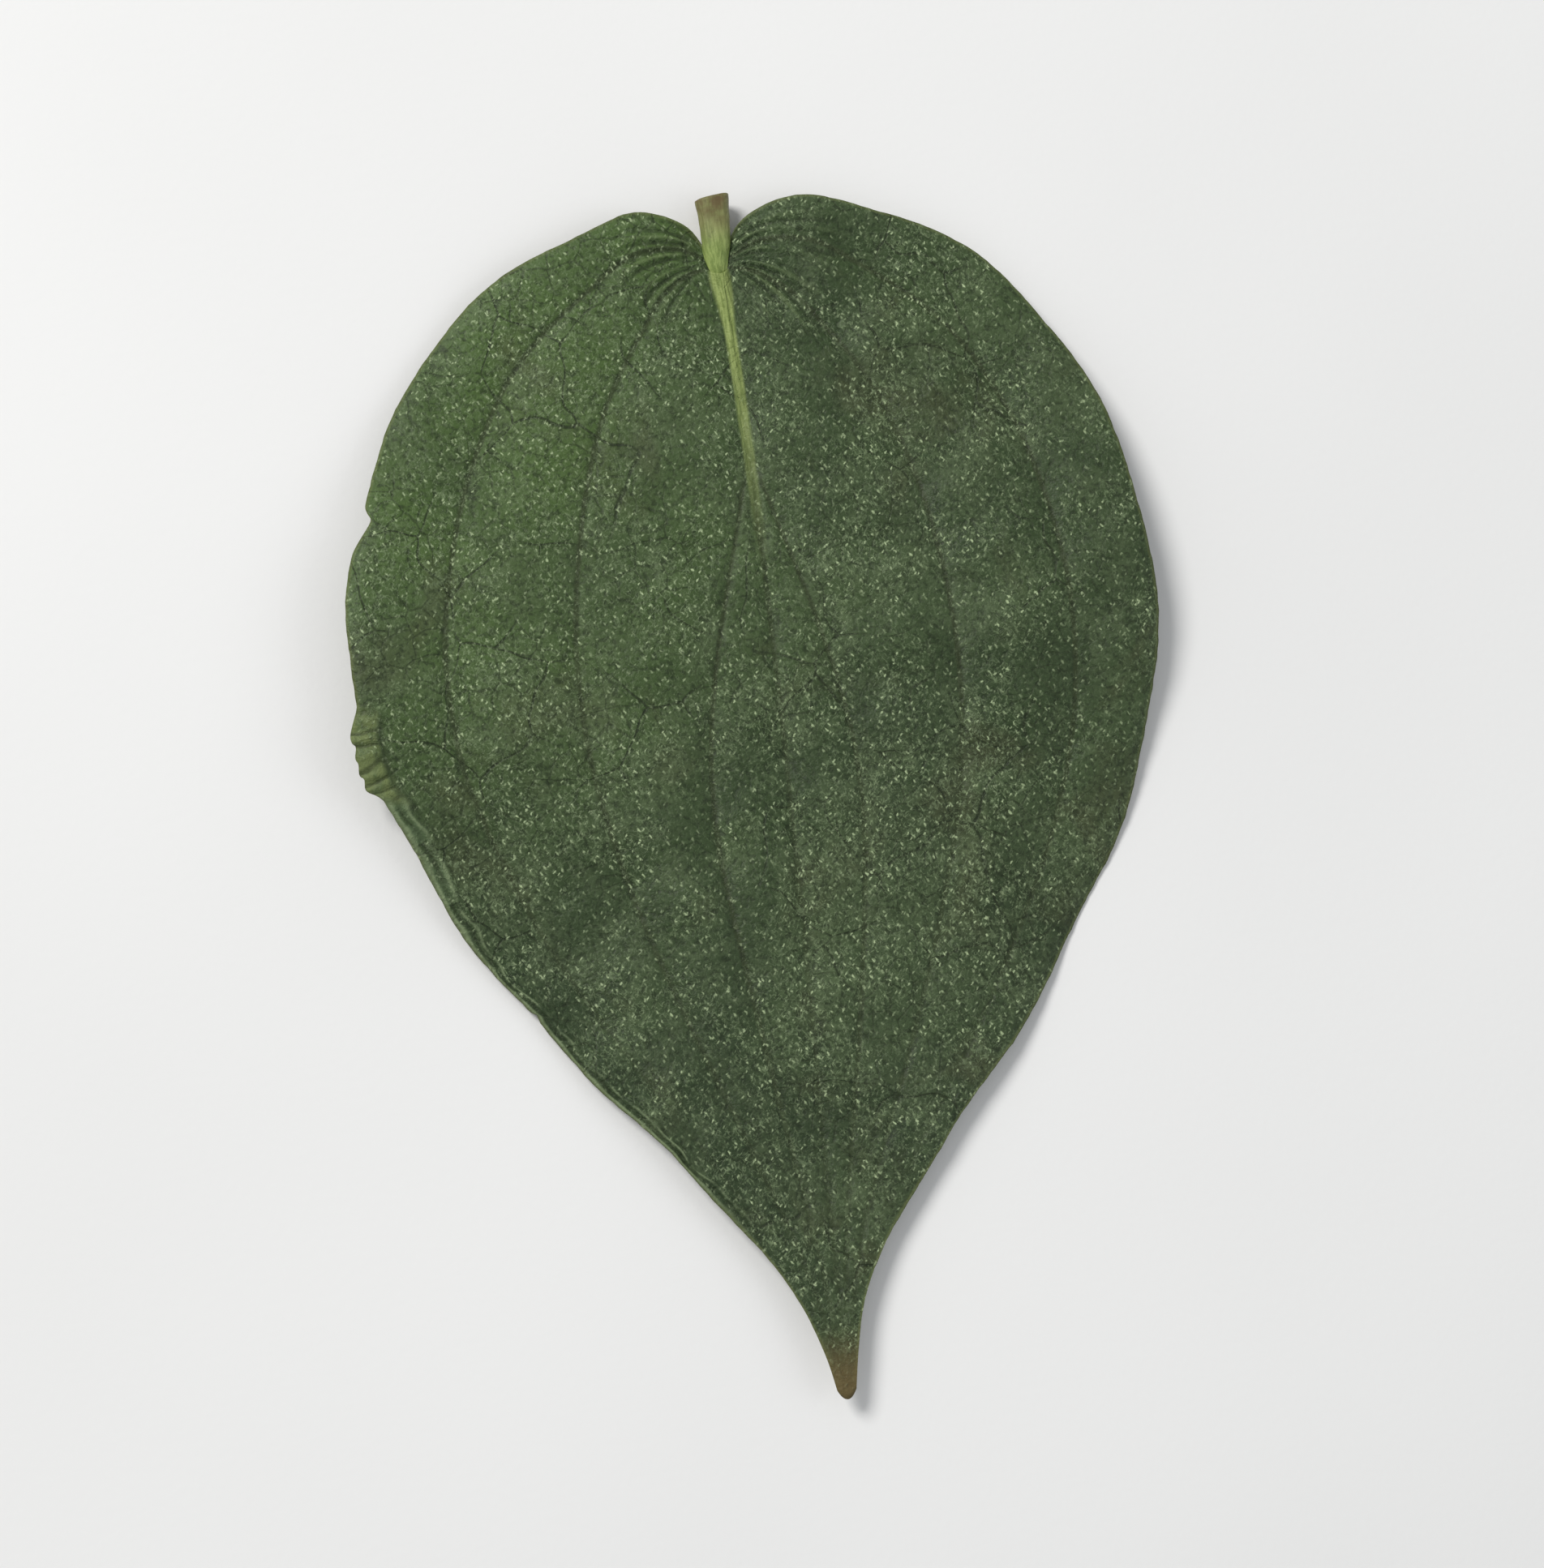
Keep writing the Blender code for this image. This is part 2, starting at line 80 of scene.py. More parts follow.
WAVES_RIGHT = 7.1
WAVE_SPAN = (0.0, 0.10, 1.0, 0.15)
MARGIN_DETAIL_POWER = 12
NICK_PLACE = 0.356
NICK_WIDTH = 0.010
NICK_DEPTH = 0.9 * MM
FLAP_SPAN = (0.470, 0.012, 0.532, 0.020)
FLAP_OUT = 0.85 * MM

# Its main veins: places across each half, and the shares of their strength lost by the tip. They
# and the margin bound four fields in each half.
FIELDS = 4
UPPER_VEIN = 0.25
INNER_VEIN = 0.52
OUTER_VEIN = 0.80
UPPER_VEIN_START = 0.28
UPPER_VEIN_REACH = 0.36
UPPER_VEIN_GROWS_OVER = 0.06
OUTER_VEIN_END = 0.92
OUTER_VEIN_FADES_OVER = 0.35
NARROWEST_FIELD = 0.07
MIDRIB_LOSS = 0.88
MIDRIB_LOSS_POWER = 0.9
VEIN_LOSS = 0.85
BASAL_LOSS_POWER = 1.3
UPPER_LOSS_POWER = 2
WEAK_VEIN_WIDTH = 0.45
FAINTEST_VEIN = 0.02
FAR_AWAY = 1.0

# Its broad form: quilted fields, arch, dish, sways, lifted lobes and tip, and curled left margin
WIDE_FIELD = 7.0 * MM
BROAD_HALF = 16.0 * MM
QUILT_HEIGHT = 0.08 * MM
QUILT_ROWS = 15.0
QUILT_SLANT = 6
ARCH_HEIGHT = 0.55 * MM
DISH_HEIGHT = 0.35 * MM
DISH_POWER = 1.5
DISH_GROWS_OVER = 0.40
SWAY_LEFT = 1.5 * MM
SWAY_RIGHT = 1.4 * MM
SWAYS_LEFT = 1.95
SWAYS_RIGHT = 1.80
LEFT_DIP = 0.665
RIGHT_DIP = 0.640
SWAY_START = 0.08
SWAY_GROWS_OVER = 0.35
LOBE_LIFT = 0.8 * MM
LOBE_REACH = 6.0 * MM
LOBE_POWER = 1.2
LOBE_END = 0.30
LOBE_FADES_OVER = 0.25
TIP_LIFT = 1.2 * MM
TIP_START = 0.80
TIP_POWER = 1.4
EDGE_CURL = 0.6 * MM
CURL_SPAN = (0.40, 0.10, 0.78, 0.12)
CURL_WIDTH = 0.14
WRINKLE_REACH = 9.0 * MM

# What only the stout CAD leaf has, and the grid of places where its height is read to find how
# it was levelled: from, to and number of steps. Ribs are pairs of height and half width.
CAD_THICKNESS = 0.70 * MM
CAD_BULGE = 0.34 * MM
CAD_GROOVE_SHARE = 0.25
CAD_MIDRIB = (0.72 * MM, 1.15 * MM)
CAD_VEIN = (0.42 * MM, 0.80 * MM)
PROBE_ROWS = (0.15, 0.90, 40)
PROBE_COLUMNS = (-0.93, 0.93, 31)
PROBE_HEIGHT = 1.0
MARGIN_STEPS = 2000

# The real leaf's blade: thin, thinner still at its margin and towards the end of its tip
THICKNESS = 0.26 * MM
EDGE_THICKNESS = 0.10 * MM
EDGE_REACH = 0.8 * MM
TIP_THICKNESS_SHARE = 0.55
TIP_THINS_OVER = 0.06
FINE_BULGE = 0.26 * MM
FINE_MIDRIB = (0.70 * MM, 0.85 * MM)
FINE_VEIN = (0.34 * MM, 0.48 * MM)
GROOVE_SHARE = 0.30
CONTACT_BAND = 0.06 * MM

# The ridge of the midrib on the upper face, which swells at the junction
RIDGE_HEIGHT = 0.15 * MM
RIDGE_SWELL = 0.24 * MM
RIDGE_HALF_WIDTH = 0.38 * MM
RIDGE_FLARE = 0.34 * MM
RIDGE_REACH = 14.0 * MM
RIDGE_POWER = 1.5
SWELL_WIDTH = 2.2 * MM

# Pleats that run out from the junction. Each set has its size, its share of the number, how far
# it wobbles and its phase.
PLEATS = 15.0
PLEAT_SETS = ((1.0, 1.0, 0.30, 0.0), (0.5, 0.53, 0.40, 0.2))
PLEAT_HEIGHT = 0.110 * MM
PLEAT_WOBBLE_LENGTH = 9 * MM
PLEAT_UNEVEN_LENGTH = 5 * MM
PLEAT_UNEVENNESS = 0.35
PLEAT_SPAN = (0.6 * MM, 1.6 * MM, 10.5 * MM, 8 * MM)
PLEAT_MIDDLE_SHARE = 0.55
PLEAT_SIDE_START = 0.15
PLEAT_SIDE_GROWS_OVER = 0.4

# The net of cross veins, the puffed areoles between the finest ones, and soft crumpling as pairs
# of wave length and height. All of it dies out near the margin and at the junction.
CROSS_STEP = 0.060
CROSS_ROWS = (0.03, 0.06, 0.97)
CROSS_STEP_SPREAD = (0.75, 1.25)
CROSS_PLACE_SPREAD = (0.34, 0.66)
NARROW_CROSS_FIELD = 0.06
CROSS_GROOVE = 0.035 * MM
CROSS_RIB = 0.10 * MM
CROSS_HALF_WIDTH = 0.55 * MM
AREOLE_STEP = 1.7 * MM
AREOLE_ROW_SHARE = 0.87
AREOLE_JITTER = 0.38
AREOLE_X = (-26 * MM, 26 * MM)
AREOLE_Y = (-68 * MM, 6 * MM)
AREOLE_EDGE = 0.45 * MM
AREOLE_DOME = 0.022 * MM
AREOLE_PUFF = 0.055 * MM
CRUMPLE = ((11.0 * MM, 0.120 * MM), (4.5 * MM, 0.045 * MM), (2.0 * MM, 0.014 * MM))
CRUMPLE_AT_MARGIN = 0.4
CRUMPLE_REACH = 7 * MM
RELIEF_REACH = 6 * MM
INLAND = 1.2 * MM

# The smallest unevenness of the margin, and scallops in its crumpled places: place and depth
UNEVEN_WAVES = (23.0, 37.0, 61.0, 97.0)
UNEVEN_DEPTH = 0.05 * MM
UNEVEN_SPAN = (0.0, 0.05, 1.0, 0.05)
SCALLOPS = ((0.4895, 0.24 * MM), (0.4990, 0.16 * MM), (0.5095, 0.20 * MM), (0.6980, 0.22 * MM))
SCALLOP_WIDTH = 0.0032
FINE_DETAIL_POWER = 24

# The rolled stretch of the left margin, wide at first and then slim. Crests and valley are pairs
# of distance from the margin and width. Waves along the blade have a number, a size and a phase.
ROLL_SPAN = (0.512, 0.03, 0.92, 0.10)
ROLL_HEIGHT = 0.32 * MM
SLIM_ROLL_HEIGHT = 0.6
SLIM_ROLL_WIDTH = 0.56
WIDE_ROLL_END = 0.630
WIDE_ROLL_FADES_OVER = 0.05
ROLL_WIDTH_WAVES = ((13, 0.10, 0.5), (31, 0.07, 0.0))
ROLL_WANDERS = ((17, 0.10 * MM, 0.0), (41, 0.07 * MM, 1.0))
WANDER_FROM = 0.5 * MM
OUTER_CREST = (0.26 * MM, 0.28 * MM)
INNER_CREST = (1.08 * MM, 0.30 * MM)
INNER_CREST_SHARE = 0.70
VALLEY = (0.68 * MM, 0.18 * MM)
VALLEY_SHARE = 0.30

# The slanted folds across the flap above the roll, and the crease at the flap's foot
FOLD_SPAN = (0.466, 0.012, 0.536, 0.014)
CREASE_SPAN = (0.466, 0.012, 0.546, 0.014)
FOLD_HEIGHT = 0.13 * MM
FOLD_PITCH = 0.0105
FOLD_REACH = 1.35 * MM
FOLD_EDGE = 0.25 * MM
FOLD_BUNCHES = ((29, 1.5, 0.6),)
FOLD_SLANT = 1.2
STEEPER_SLANT = 2.4
STEEPER_FROM = 0.485
STEEPER_OVER = 0.02
FOLD_BEND = 0.5
FOLD_BEND_PACE = 4.0
FOLD_MEAN_HEIGHT = 0.65
FOLD_HEIGHT_WAVES = ((43, 0.35, 2.0),)
CREASE_WIDTH = 0.16 * MM
CREASE_DEPTH = 0.8

# The stalk's stub. Its sections, in mm: along it from the junction, half width, half height and
# the height of the middle. Its furrows are numbers round it, and its cut end is closed by rings,
# each with its share of the section and how far it sinks in.
STALK_LENGTH = 4.2 * MM
STALK_SECTIONS = (
    (-4.60, 0.10, 0.08, -0.30),
    (-2.20, 0.30, 0.28, -0.22),
    (-0.60, 0.60, 0.52, -0.13),
    (1.30, 0.84, 0.74, 0.18),
    (4.17, 0.96, 0.84, 0.43),
)
STALK_ZONE = 3 * MM
STALK_CHANNEL = 0.20
STALK_CHANNEL_POWER = 6
STALK_SKEW = 0.16
STALK_SKEW_BACK = 0.97 * MM
STALK_FLARE = 0.05
STALK_FLARE_WIDTH = 0.5 * MM
STALK_BEND = 0.10 * MM
STALK_BEND_LENGTH = 1.7 * MM
STALK_BEND_FROM = 1.5 * MM
FURROWS = (5, 8, 13, 19)
FURROW_DEPTH = 0.026 * MM
FURROW_TWIST = 0.25
FURROW_PHASES = (0, 6.28)
STALK_RING_DEPTH = 0.006 * MM
STALK_RING_PITCH = 0.9 * MM
STALK_RING_LEAN = 2
CUT_RINGS = ((0.90, 0.0), (0.72, 0.09 * MM), (0.48, 0.13 * MM), (0.24, 0.10 * MM))
CUT_ROUGHNESS = 0.03 * MM

# Mesh density. Rows are closer together at the nick and at the flap.
ROWS = 282
NICK_CROWDING = 1.5
FLAP_CROWDING = 1.8
FLAP_MIDDLE = 0.50
FLAP_CROWDING_WIDTH = 0.035
FIELD_COLUMNS = 20
COLUMN_CROWDING = 0.05
STALK_SIDES = 48
STALK_RINGS = 64

# Seeds of all that is drawn at random
MARGIN_SEED = 3
AREOLE_SEED = 5
CROSS_SEED = 11
PLEAT_SEEDS = (17, 18)
STALK_SEED = 23
CRUMPLE_SEED = 40

# Working values: the step for reading slopes, what keeps a divisor above nothing, how many steps
# the rows' spacing is summed over, the waves of a random field and their spread of lengths, and
# how many points are compared with the seeds at a time
SLOPE_STEP = 1e-4
TINY = 1e-9
SUM_STEPS = 4000
FIELD_WAVES = 26
FIELD_WAVE_SPREAD = (0.7, 1.5)
CHUNK = 4000

# Material slots of the two pieces
UPPER, UNDER, RIM = 0, 1, 2
SKIN, CUT = 0, 1


def smooth_step(value):
    """0 up to 0, 1 from 1 on, and a smooth rise between them."""
    value = np.clip(value, 0.0, 1.0)
    return value * value * (3.0 - 2.0 * value)


def window(value, span):
    """1 within a span, with a smooth rise after its start and a smooth fall before its end."""
    start, rise, end, fall = span
    return smooth_step((value - start) / rise) * smooth_step((end - value) / fall)


def bell(value, middle, width):
    """1 at the middle, falling smoothly to 0 at some widths from it."""
    return np.exp(-(((value - middle) / width) ** 2))


def ripple(u, waves):
    """Sum of waves along the blade, each with its number, size and phase."""
    return sum(size * np.sin(TURN * number * u + phase) for number, size, phase in waves)


def margin_points(pairs):
    """The margin's points in polar form about the junction: radius, and angle from the tip."""
    start = (JUNCTION_RADIUS, SINUS_ANGLE)
    rest = [(math.hypot(out, along) * MM, math.atan2(out, along)) for out, along in pairs]
    return np.array([start] + rest)


def read_curve(points, u):
    """Read a smooth curve through the points at fractions u of its length."""
    flat = points[:, :1] * np.column_stack((np.sin(points[:, 1]), np.cos(points[:, 1])))
    steps = np.hypot(*np.diff(flat, axis=0).T)
    knots = np.concatenate(([0.0], np.cumsum(steps))) / steps.sum()
    span = np.diff(knots)[:, None]
    slope = np.diff(flat, axis=0) / span
    tangent = np.empty_like(flat)
    tangent[0] = slope[0]
    tangent[-1] = slope[-1]
    tangent[1:-1] = (slope[:-1] * span[1:] + slope[1:] * span[:-1]) / (span[1:] + span[:-1])
    index = np.clip(np.searchsorted(knots, u, side="right") - 1, 0, len(span) - 1)
    f = ((u - knots[index]) / span[index, 0])[..., None]
    h = span[index]
    return (
        (1 + 2 * f) * (1 - f) ** 2 * flat[index]
        + f * (1 - f) ** 2 * h * tangent[index]
        + f * f * (3 - 2 * f) * flat[index + 1]
        + f * f * (f - 1) * h * tangent[index + 1]
    )


def margin_polar(pairs, u):
    """Radius and angle of one margin at fractions u."""
    out, along = np.moveaxis(read_curve(margin_points(pairs), u), -1, 0)
    return np.hypot(out, along), np.arctan2(out, along)


def margin_detail(u, left):
    """How far the small waves, the nick and the flap move the margin outwards."""
    waves = np.where(left, WAVES_LEFT, WAVES_RIGHT)
    fade = window(u, WAVE_SPAN)
    nick = NICK_DEPTH * bell(u, NICK_PLACE, NICK_WIDTH)
    flap = window(u, FLAP_SPAN)
    wave = WAVE_DEPTH * fade * np.sin(TURN * waves * u)
    return wave + np.where(left, FLAP_OUT * flap - nick, 0.0)


def plan(u, t, detail=1.0):
    """Place in plan of (u, t): u runs from the stalk to the tip, t from left to right margin.

    The margin's waves, nick and flap come in by the given share.
    """
    left = t < 0
    a = np.abs(t)
    left_radius, left_angle = margin_polar(LEFT_MARGIN, u)
    right_radius, right_angle = margin_polar(RIGHT_MARGIN, u)
    edge_radius = np.where(left, left_radius, right_radius)
    edge_angle = np.where(left, left_angle, right_angle)
    midrib_radius = JUNCTION_RADIUS + (BLADE_LENGTH - JUNCTION_RADIUS) * u**MIDRIB_PACE
    blunt = smooth_step((u - BLUNT_FROM) / (1.0 - BLUNT_FROM))
    share = a * (1 - blunt) + a * a * blunt
    radius = midrib_radius + (edge_radius - midrib_radius) * share
    radius = radius + detail * margin_detail(u, left) * a**MARGIN_DETAIL_POWER
    bow = MIDRIB_BOW * np.sin(math.pi * u) * (1 - a)
    return radius * np.sin(edge_angle * t) + bow, -radius * np.cos(edge_angle * t)


def spacing(u, t):
    """Metres across the blade for a whole step of t, square to the lines of equal t.

    It leaves the margin's small detail out, so that the heights don't jump at the nick.
    """
    ax, ay = plan(np.clip(u - SLOPE_STEP, 0, 1), t, 0.0)
    bx, by = plan(np.clip(u + SLOPE_STEP, 0, 1), t, 0.0)
    t_low = np.clip(t - SLOPE_STEP, -1, 1)
    t_high = np.clip(t + SLOPE_STEP, -1, 1)
    cx, cy = plan(u, t_low, 0.0)
    dx, dy = plan(u, t_high, 0.0)
    run_x, run_y = bx - ax, by - ay
    cross = np.abs((dx - cx) * run_y - (dy - cy) * run_x)
    return cross / np.maximum(np.hypot(run_x, run_y), TINY) / (t_high - t_low)


def upper_vein_place(u):
    """The upper pair of side veins leaves the midrib a good way above the junction."""
    return UPPER_VEIN * np.sin(math.pi / 2 * np.clip((u - UPPER_VEIN_START) / UPPER_VEIN_REACH, 0, 1))


def vein_lines(u):
    """Each main vein: its place across the blade and its strength. The midrib comes first."""
    basal_strength = 1.0 - VEIN_LOSS * u**BASAL_LOSS_POWER
    outer_strength = basal_strength * smooth_step((OUTER_VEIN_END - u) / OUTER_VEIN_FADES_OVER)
    upper_strength = smooth_step((u - UPPER_VEIN_START) / UPPER_VEIN_GROWS_OVER)
    upper_strength = upper_strength * (1.0 - VEIN_LOSS * u**UPPER_LOSS_POWER)
    lines = [(0.0, 1.0 - MIDRIB_LOSS * u**MIDRIB_LOSS_POWER)]
    for side in (-1, 1):
        lines.append((side * upper_vein_place(u), upper_strength))
        lines.append((side * INNER_VEIN, basal_strength))
        lines.append((side * OUTER_VEIN, outer_strength))
    return lines


def ribs(u, t, across, midrib, vein):
    """How far the veins stand out. Midrib and vein are pairs of height and half width."""
    depth = np.zeros_like(u)
    for number, (place, strength) in enumerate(vein_lines(u)):
        height, half_width = vein if number else midrib
        reach = half_width * (WEAK_VEIN_WIDTH + (1.0 - WEAK_VEIN_WIDTH) * strength)
        off = np.clip(np.abs(t - place) * across / reach, 0, 1)
        depth = np.maximum(depth, height * strength * (1 - off**2) ** 2)
    return depth


def nearest_vein(u, t, across):
    """Distance to the nearest main vein that is strong enough to be seen, and its strength."""
    distance = np.full_like(u, FAR_AWAY)
    power = np.zeros_like(u)
    for place, strength in vein_lines(u):
        away = np.abs(t - place) * across + np.where(strength < FAINTEST_VEIN, FAR_AWAY, 0.0)
        closer = away < distance
        distance = np.where(closer, away, distance)
        power = np.where(closer, strength, power)
    return distance, power


def field_edges(u):
    """Where the midrib, the side veins and the margin lie across a half of the blade."""
    midrib, inner, outer, margin = (np.full_like(u, t) for t in (0.0, INNER_VEIN, OUTER_VEIN, 1.0))
    return midrib, upper_vein_place(u), inner, outer, margin


def field_crown(u, t, across):
    """0 on a main vein or the margin, up to 1 midway between two of them where it is wide."""
    a = np.abs(t)
    edges = field_edges(u)
    crown = np.zeros_like(a)
    for low, high in zip(edges[:-1], edges[1:]):
        width = np.maximum(high - low, TINY)
        rise = np.sin(math.pi * np.clip((a - low) / width, 0, 1))
        full = smooth_step(width * across / WIDE_FIELD)
        crown = np.where((a >= low) & (a <= high), rise * full, crown)
    return crown


def broad_form(u, t, across, bulge):
    """Height of the blade's underside without its ribs and small relief."""
    x, y = plan(u, t)
    a = np.abs(t)
    left = t < 0
    from_junction = np.hypot(x, y)
    broad = smooth_step(across / BROAD_HALF)
    arch = ARCH_HEIGHT * np.sin(math.pi * np.clip(-y / BLADE_LENGTH, 0, 1))
    dish = DISH_HEIGHT * a**DISH_POWER * smooth_step(u / DISH_GROWS_OVER) * broad
    sway_left = SWAY_LEFT * np.cos(TURN * SWAYS_LEFT * (u - LEFT_DIP))
    sway_right = SWAY_RIGHT * np.cos(TURN * SWAYS_RIGHT * (u - RIGHT_DIP))
    sway_growth = smooth_step((u - SWAY_START) / SWAY_GROWS_OVER)
    sway = -np.where(left, sway_left, sway_right) * a**2 * sway_growth * broad
    lobes = LOBE_LIFT * smooth_step((LOBE_END - u) / LOBE_FADES_OVER) * a**LOBE_POWER
    lobes = lobes * smooth_step(from_junction / LOBE_REACH)
    tip = TIP_LIFT * smooth_step((u - TIP_START) / (1.0 - TIP_START)) ** TIP_POWER
    curl = EDGE_CURL * window(u, CURL_SPAN)
    curl = np.where(left, curl * smooth_step((a - 1.0 + CURL_WIDTH) / CURL_WIDTH), 0.0)
    crown = field_crown(u, t, across) * smooth_step(from_junction / WRINKLE_REACH)
    quilt = bulge + QUILT_HEIGHT * np.cos(TURN * QUILT_ROWS * u + QUILT_SLANT * a)
    return arch + dish + sway + lobes + tip + curl + crown * quilt


def read_lie():
    """How the CAD leaf lies: its shift in plan, and the plane that its heights were levelled by."""
    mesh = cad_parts[CAD_NODE].data
    tree = BVHTree.FromPolygons([v.co for v in mesh.vertices], [p.vertices[:] for p in mesh.polygons])
    margin_u = np.linspace(0.0, 1.0, MARGIN_STEPS)
    left_x = plan(margin_u, -np.ones_like(margin_u))[0].min()
    right_x = plan(margin_u, np.ones_like(margin_u))[0].max()
    shift_x = (cad_low.x - left_x + cad_high.x - right_x) / 2
    shift_y = cad_low.y + BLADE_LENGTH
    u, t = np.meshgrid(np.linspace(*PROBE_ROWS), np.linspace(*PROBE_COLUMNS), indexing="ij")
    u, t = u.ravel(), t.ravel()
    across = spacing(u, t)
    groove = CAD_GROOVE_SHARE * np.minimum(ribs(u, t, across, CAD_MIDRIB, CAD_VEIN), CAD_VEIN[0])
    top = broad_form(u, t, across, CAD_BULGE) + CAD_THICKNESS - groove
    x, y = plan(u, t)
    rows, drops = [], []
    for px, py, pz in zip(x + shift_x, y + shift_y, top):
        hit = tree.ray_cast(Vector((px, py, PROBE_HEIGHT)), Vector((0, 0, -1)))[0]
        if hit is not None:
            rows.append((px, py, 1.0))
            drops.append(pz - hit.z)
    level = np.linalg.lstsq(np.array(rows), np.array(drops), rcond=None)[0]
    return shift_x, shift_y, level


def wave_field(x, y, seed, length):
    """A smooth seeded field, mostly within -1 to 1, made of waves of about this length."""
    draw = np.random.default_rng(seed)
    total = np.zeros_like(x)
    for _ in range(FIELD_WAVES):
        heading = draw.uniform(0, math.pi)
        number = TURN / (length * draw.uniform(*FIELD_WAVE_SPREAD))
        phase = draw.uniform(0, TURN)
        total += np.cos(number * (x * math.cos(heading) + y * math.sin(heading)) + phase)
    return total / math.sqrt(2 * FIELD_WAVES)


def cell_gap(x, y, seeds):
    """Half of how much farther the second seed is than the nearest: 0 on the line between two cells."""
    gap = np.empty_like(x)
    for start in range(0, len(x), CHUNK):
        part = slice(start, start + CHUNK)
        square = (x[part, None] - seeds[0]) ** 2 + (y[part, None] - seeds[1]) ** 2
        two = np.sqrt(np.partition(square, 1, axis=1)[:, :2])
        gap[part] = (two[:, 1] - two[:, 0]) / 2
    return gap


def areole_seeds():
    """Seeds of the small areoles: a jittered six-sided grid over the blade's box."""
    draw = np.random.default_rng(AREOLE_SEED)
    xs = np.arange(*AREOLE_X, AREOLE_STEP)
    ys = np.arange(*AREOLE_Y, AREOLE_STEP * AREOLE_ROW_SHARE)
    grid_x, grid_y = np.meshgrid(xs, ys)
    grid_x = grid_x + (np.arange(len(ys))[:, None] % 2) * AREOLE_STEP / 2
    grid_x = grid_x + draw.uniform(-AREOLE_JITTER, AREOLE_JITTER, grid_x.shape) * AREOLE_STEP
    grid_y = grid_y + draw.uniform(-AREOLE_JITTER, AREOLE_JITTER, grid_y.shape) * AREOLE_STEP
    return grid_x.ravel(), grid_y.ravel()


def cross_vein_seeds():
    """Seeds of the larger meshes: a row of them down each field between two main veins."""
    draw = np.random.default_rng(CROSS_SEED)
    first, latest_first, end = CROSS_ROWS
    xs, ys = [], []
    for side in (-1, 1):
        for field in range(FIELDS):
            u = draw.uniform(first, latest_first)
            while u < end:
                edges = [edge[0] for edge in field_edges(np.array([u]))]
                low, high = edges[field], edges[field + 1]
                if high - low > NARROW_CROSS_FIELD:
                    t = side * (low + (high - low) * draw.uniform(*CROSS_PLACE_SPREAD))
                    x, y = plan(np.array([u]), np.array([t]))
                    xs.append(x[0])
                    ys.append(y[0])
                u += CROSS_STEP * draw.uniform(*CROSS_STEP_SPREAD)
    return np.array(xs), np.array(ys)


def blade_rows():
    """Fractions u of the rows of points, closer together at the nick and at the flap."""
    even = np.linspace(0.0, 1.0, SUM_STEPS + 1)
    density = 1.0 + NICK_CROWDING * bell(even, NICK_PLACE, 2 * NICK_WIDTH)
    density = density + FLAP_CROWDING * bell(even, FLAP_MIDDLE, FLAP_CROWDING_WIDTH)
    length = np.concatenate(([0.0], np.cumsum(0.5 * (density[1:] + density[:-1]))))
    return np.interp(np.linspace(0.0, length[-1], ROWS + 1), length, even)


def blade_columns():
    """Fractions t of the columns, closer together beside each main vein and at the margin."""
    share = np.linspace(0.0, 1.0, FIELD_COLUMNS + 1)[1:]
    share = share - COLUMN_CROWDING * np.sin(TURN * share)
    half = [0.0]
    edges = (0.0, UPPER_VEIN, INNER_VEIN, OUTER_VEIN, 1.0)
    for low, high in zip(edges[:-1], edges[1:]):
        half += list(low + (high - low) * share)
    return np.array([-value for value in half[:0:-1]] + half)


def gather_columns(u, t):
    """Let the column beside the midrib follow the upper vein as it leaves the midrib."""
    a = np.abs(t)
    place = np.maximum(upper_vein_place(u), NARROWEST_FIELD)
    inner = a * place / UPPER_VEIN
    outer = place + (a - UPPER_VEIN) * (INNER_VEIN - place) / (INNER_VEIN - UPPER_VEIN)
    moved = np.where(a <= UPPER_VEIN, inner, np.where(a <= INNER_VEIN, outer, a))
    return np.sign(t) * moved


def fine_plan(u, t):
    """The plan with the margin's smallest unevenness and the scallops of its crumpled places."""
    x, y = plan(u, t)
    left = t < 0
    draw = np.random.default_rng(MARGIN_SEED)
    uneven = np.zeros_like(u)
    for number in UNEVEN_WAVES:
        phase = draw.uniform(0, TURN, 2)
        uneven += np.cos(TURN * number * u + np.where(left, phase[0], phase[1]))
    inward = UNEVEN_DEPTH * (1 + uneven / len(UNEVEN_WAVES)) * window(u, UNEVEN_SPAN)
    scallops = sum(depth * bell(u, place, SCALLOP_WIDTH) for place, depth in SCALLOPS)
    inward = inward + np.where(left, scallops, 0.0)
    radius = np.maximum(np.hypot(x, y), JUNCTION_RADIUS)
    factor = 1 - inward * np.abs(t) ** FINE_DETAIL_POWER / radius
    return x * factor, y * factor


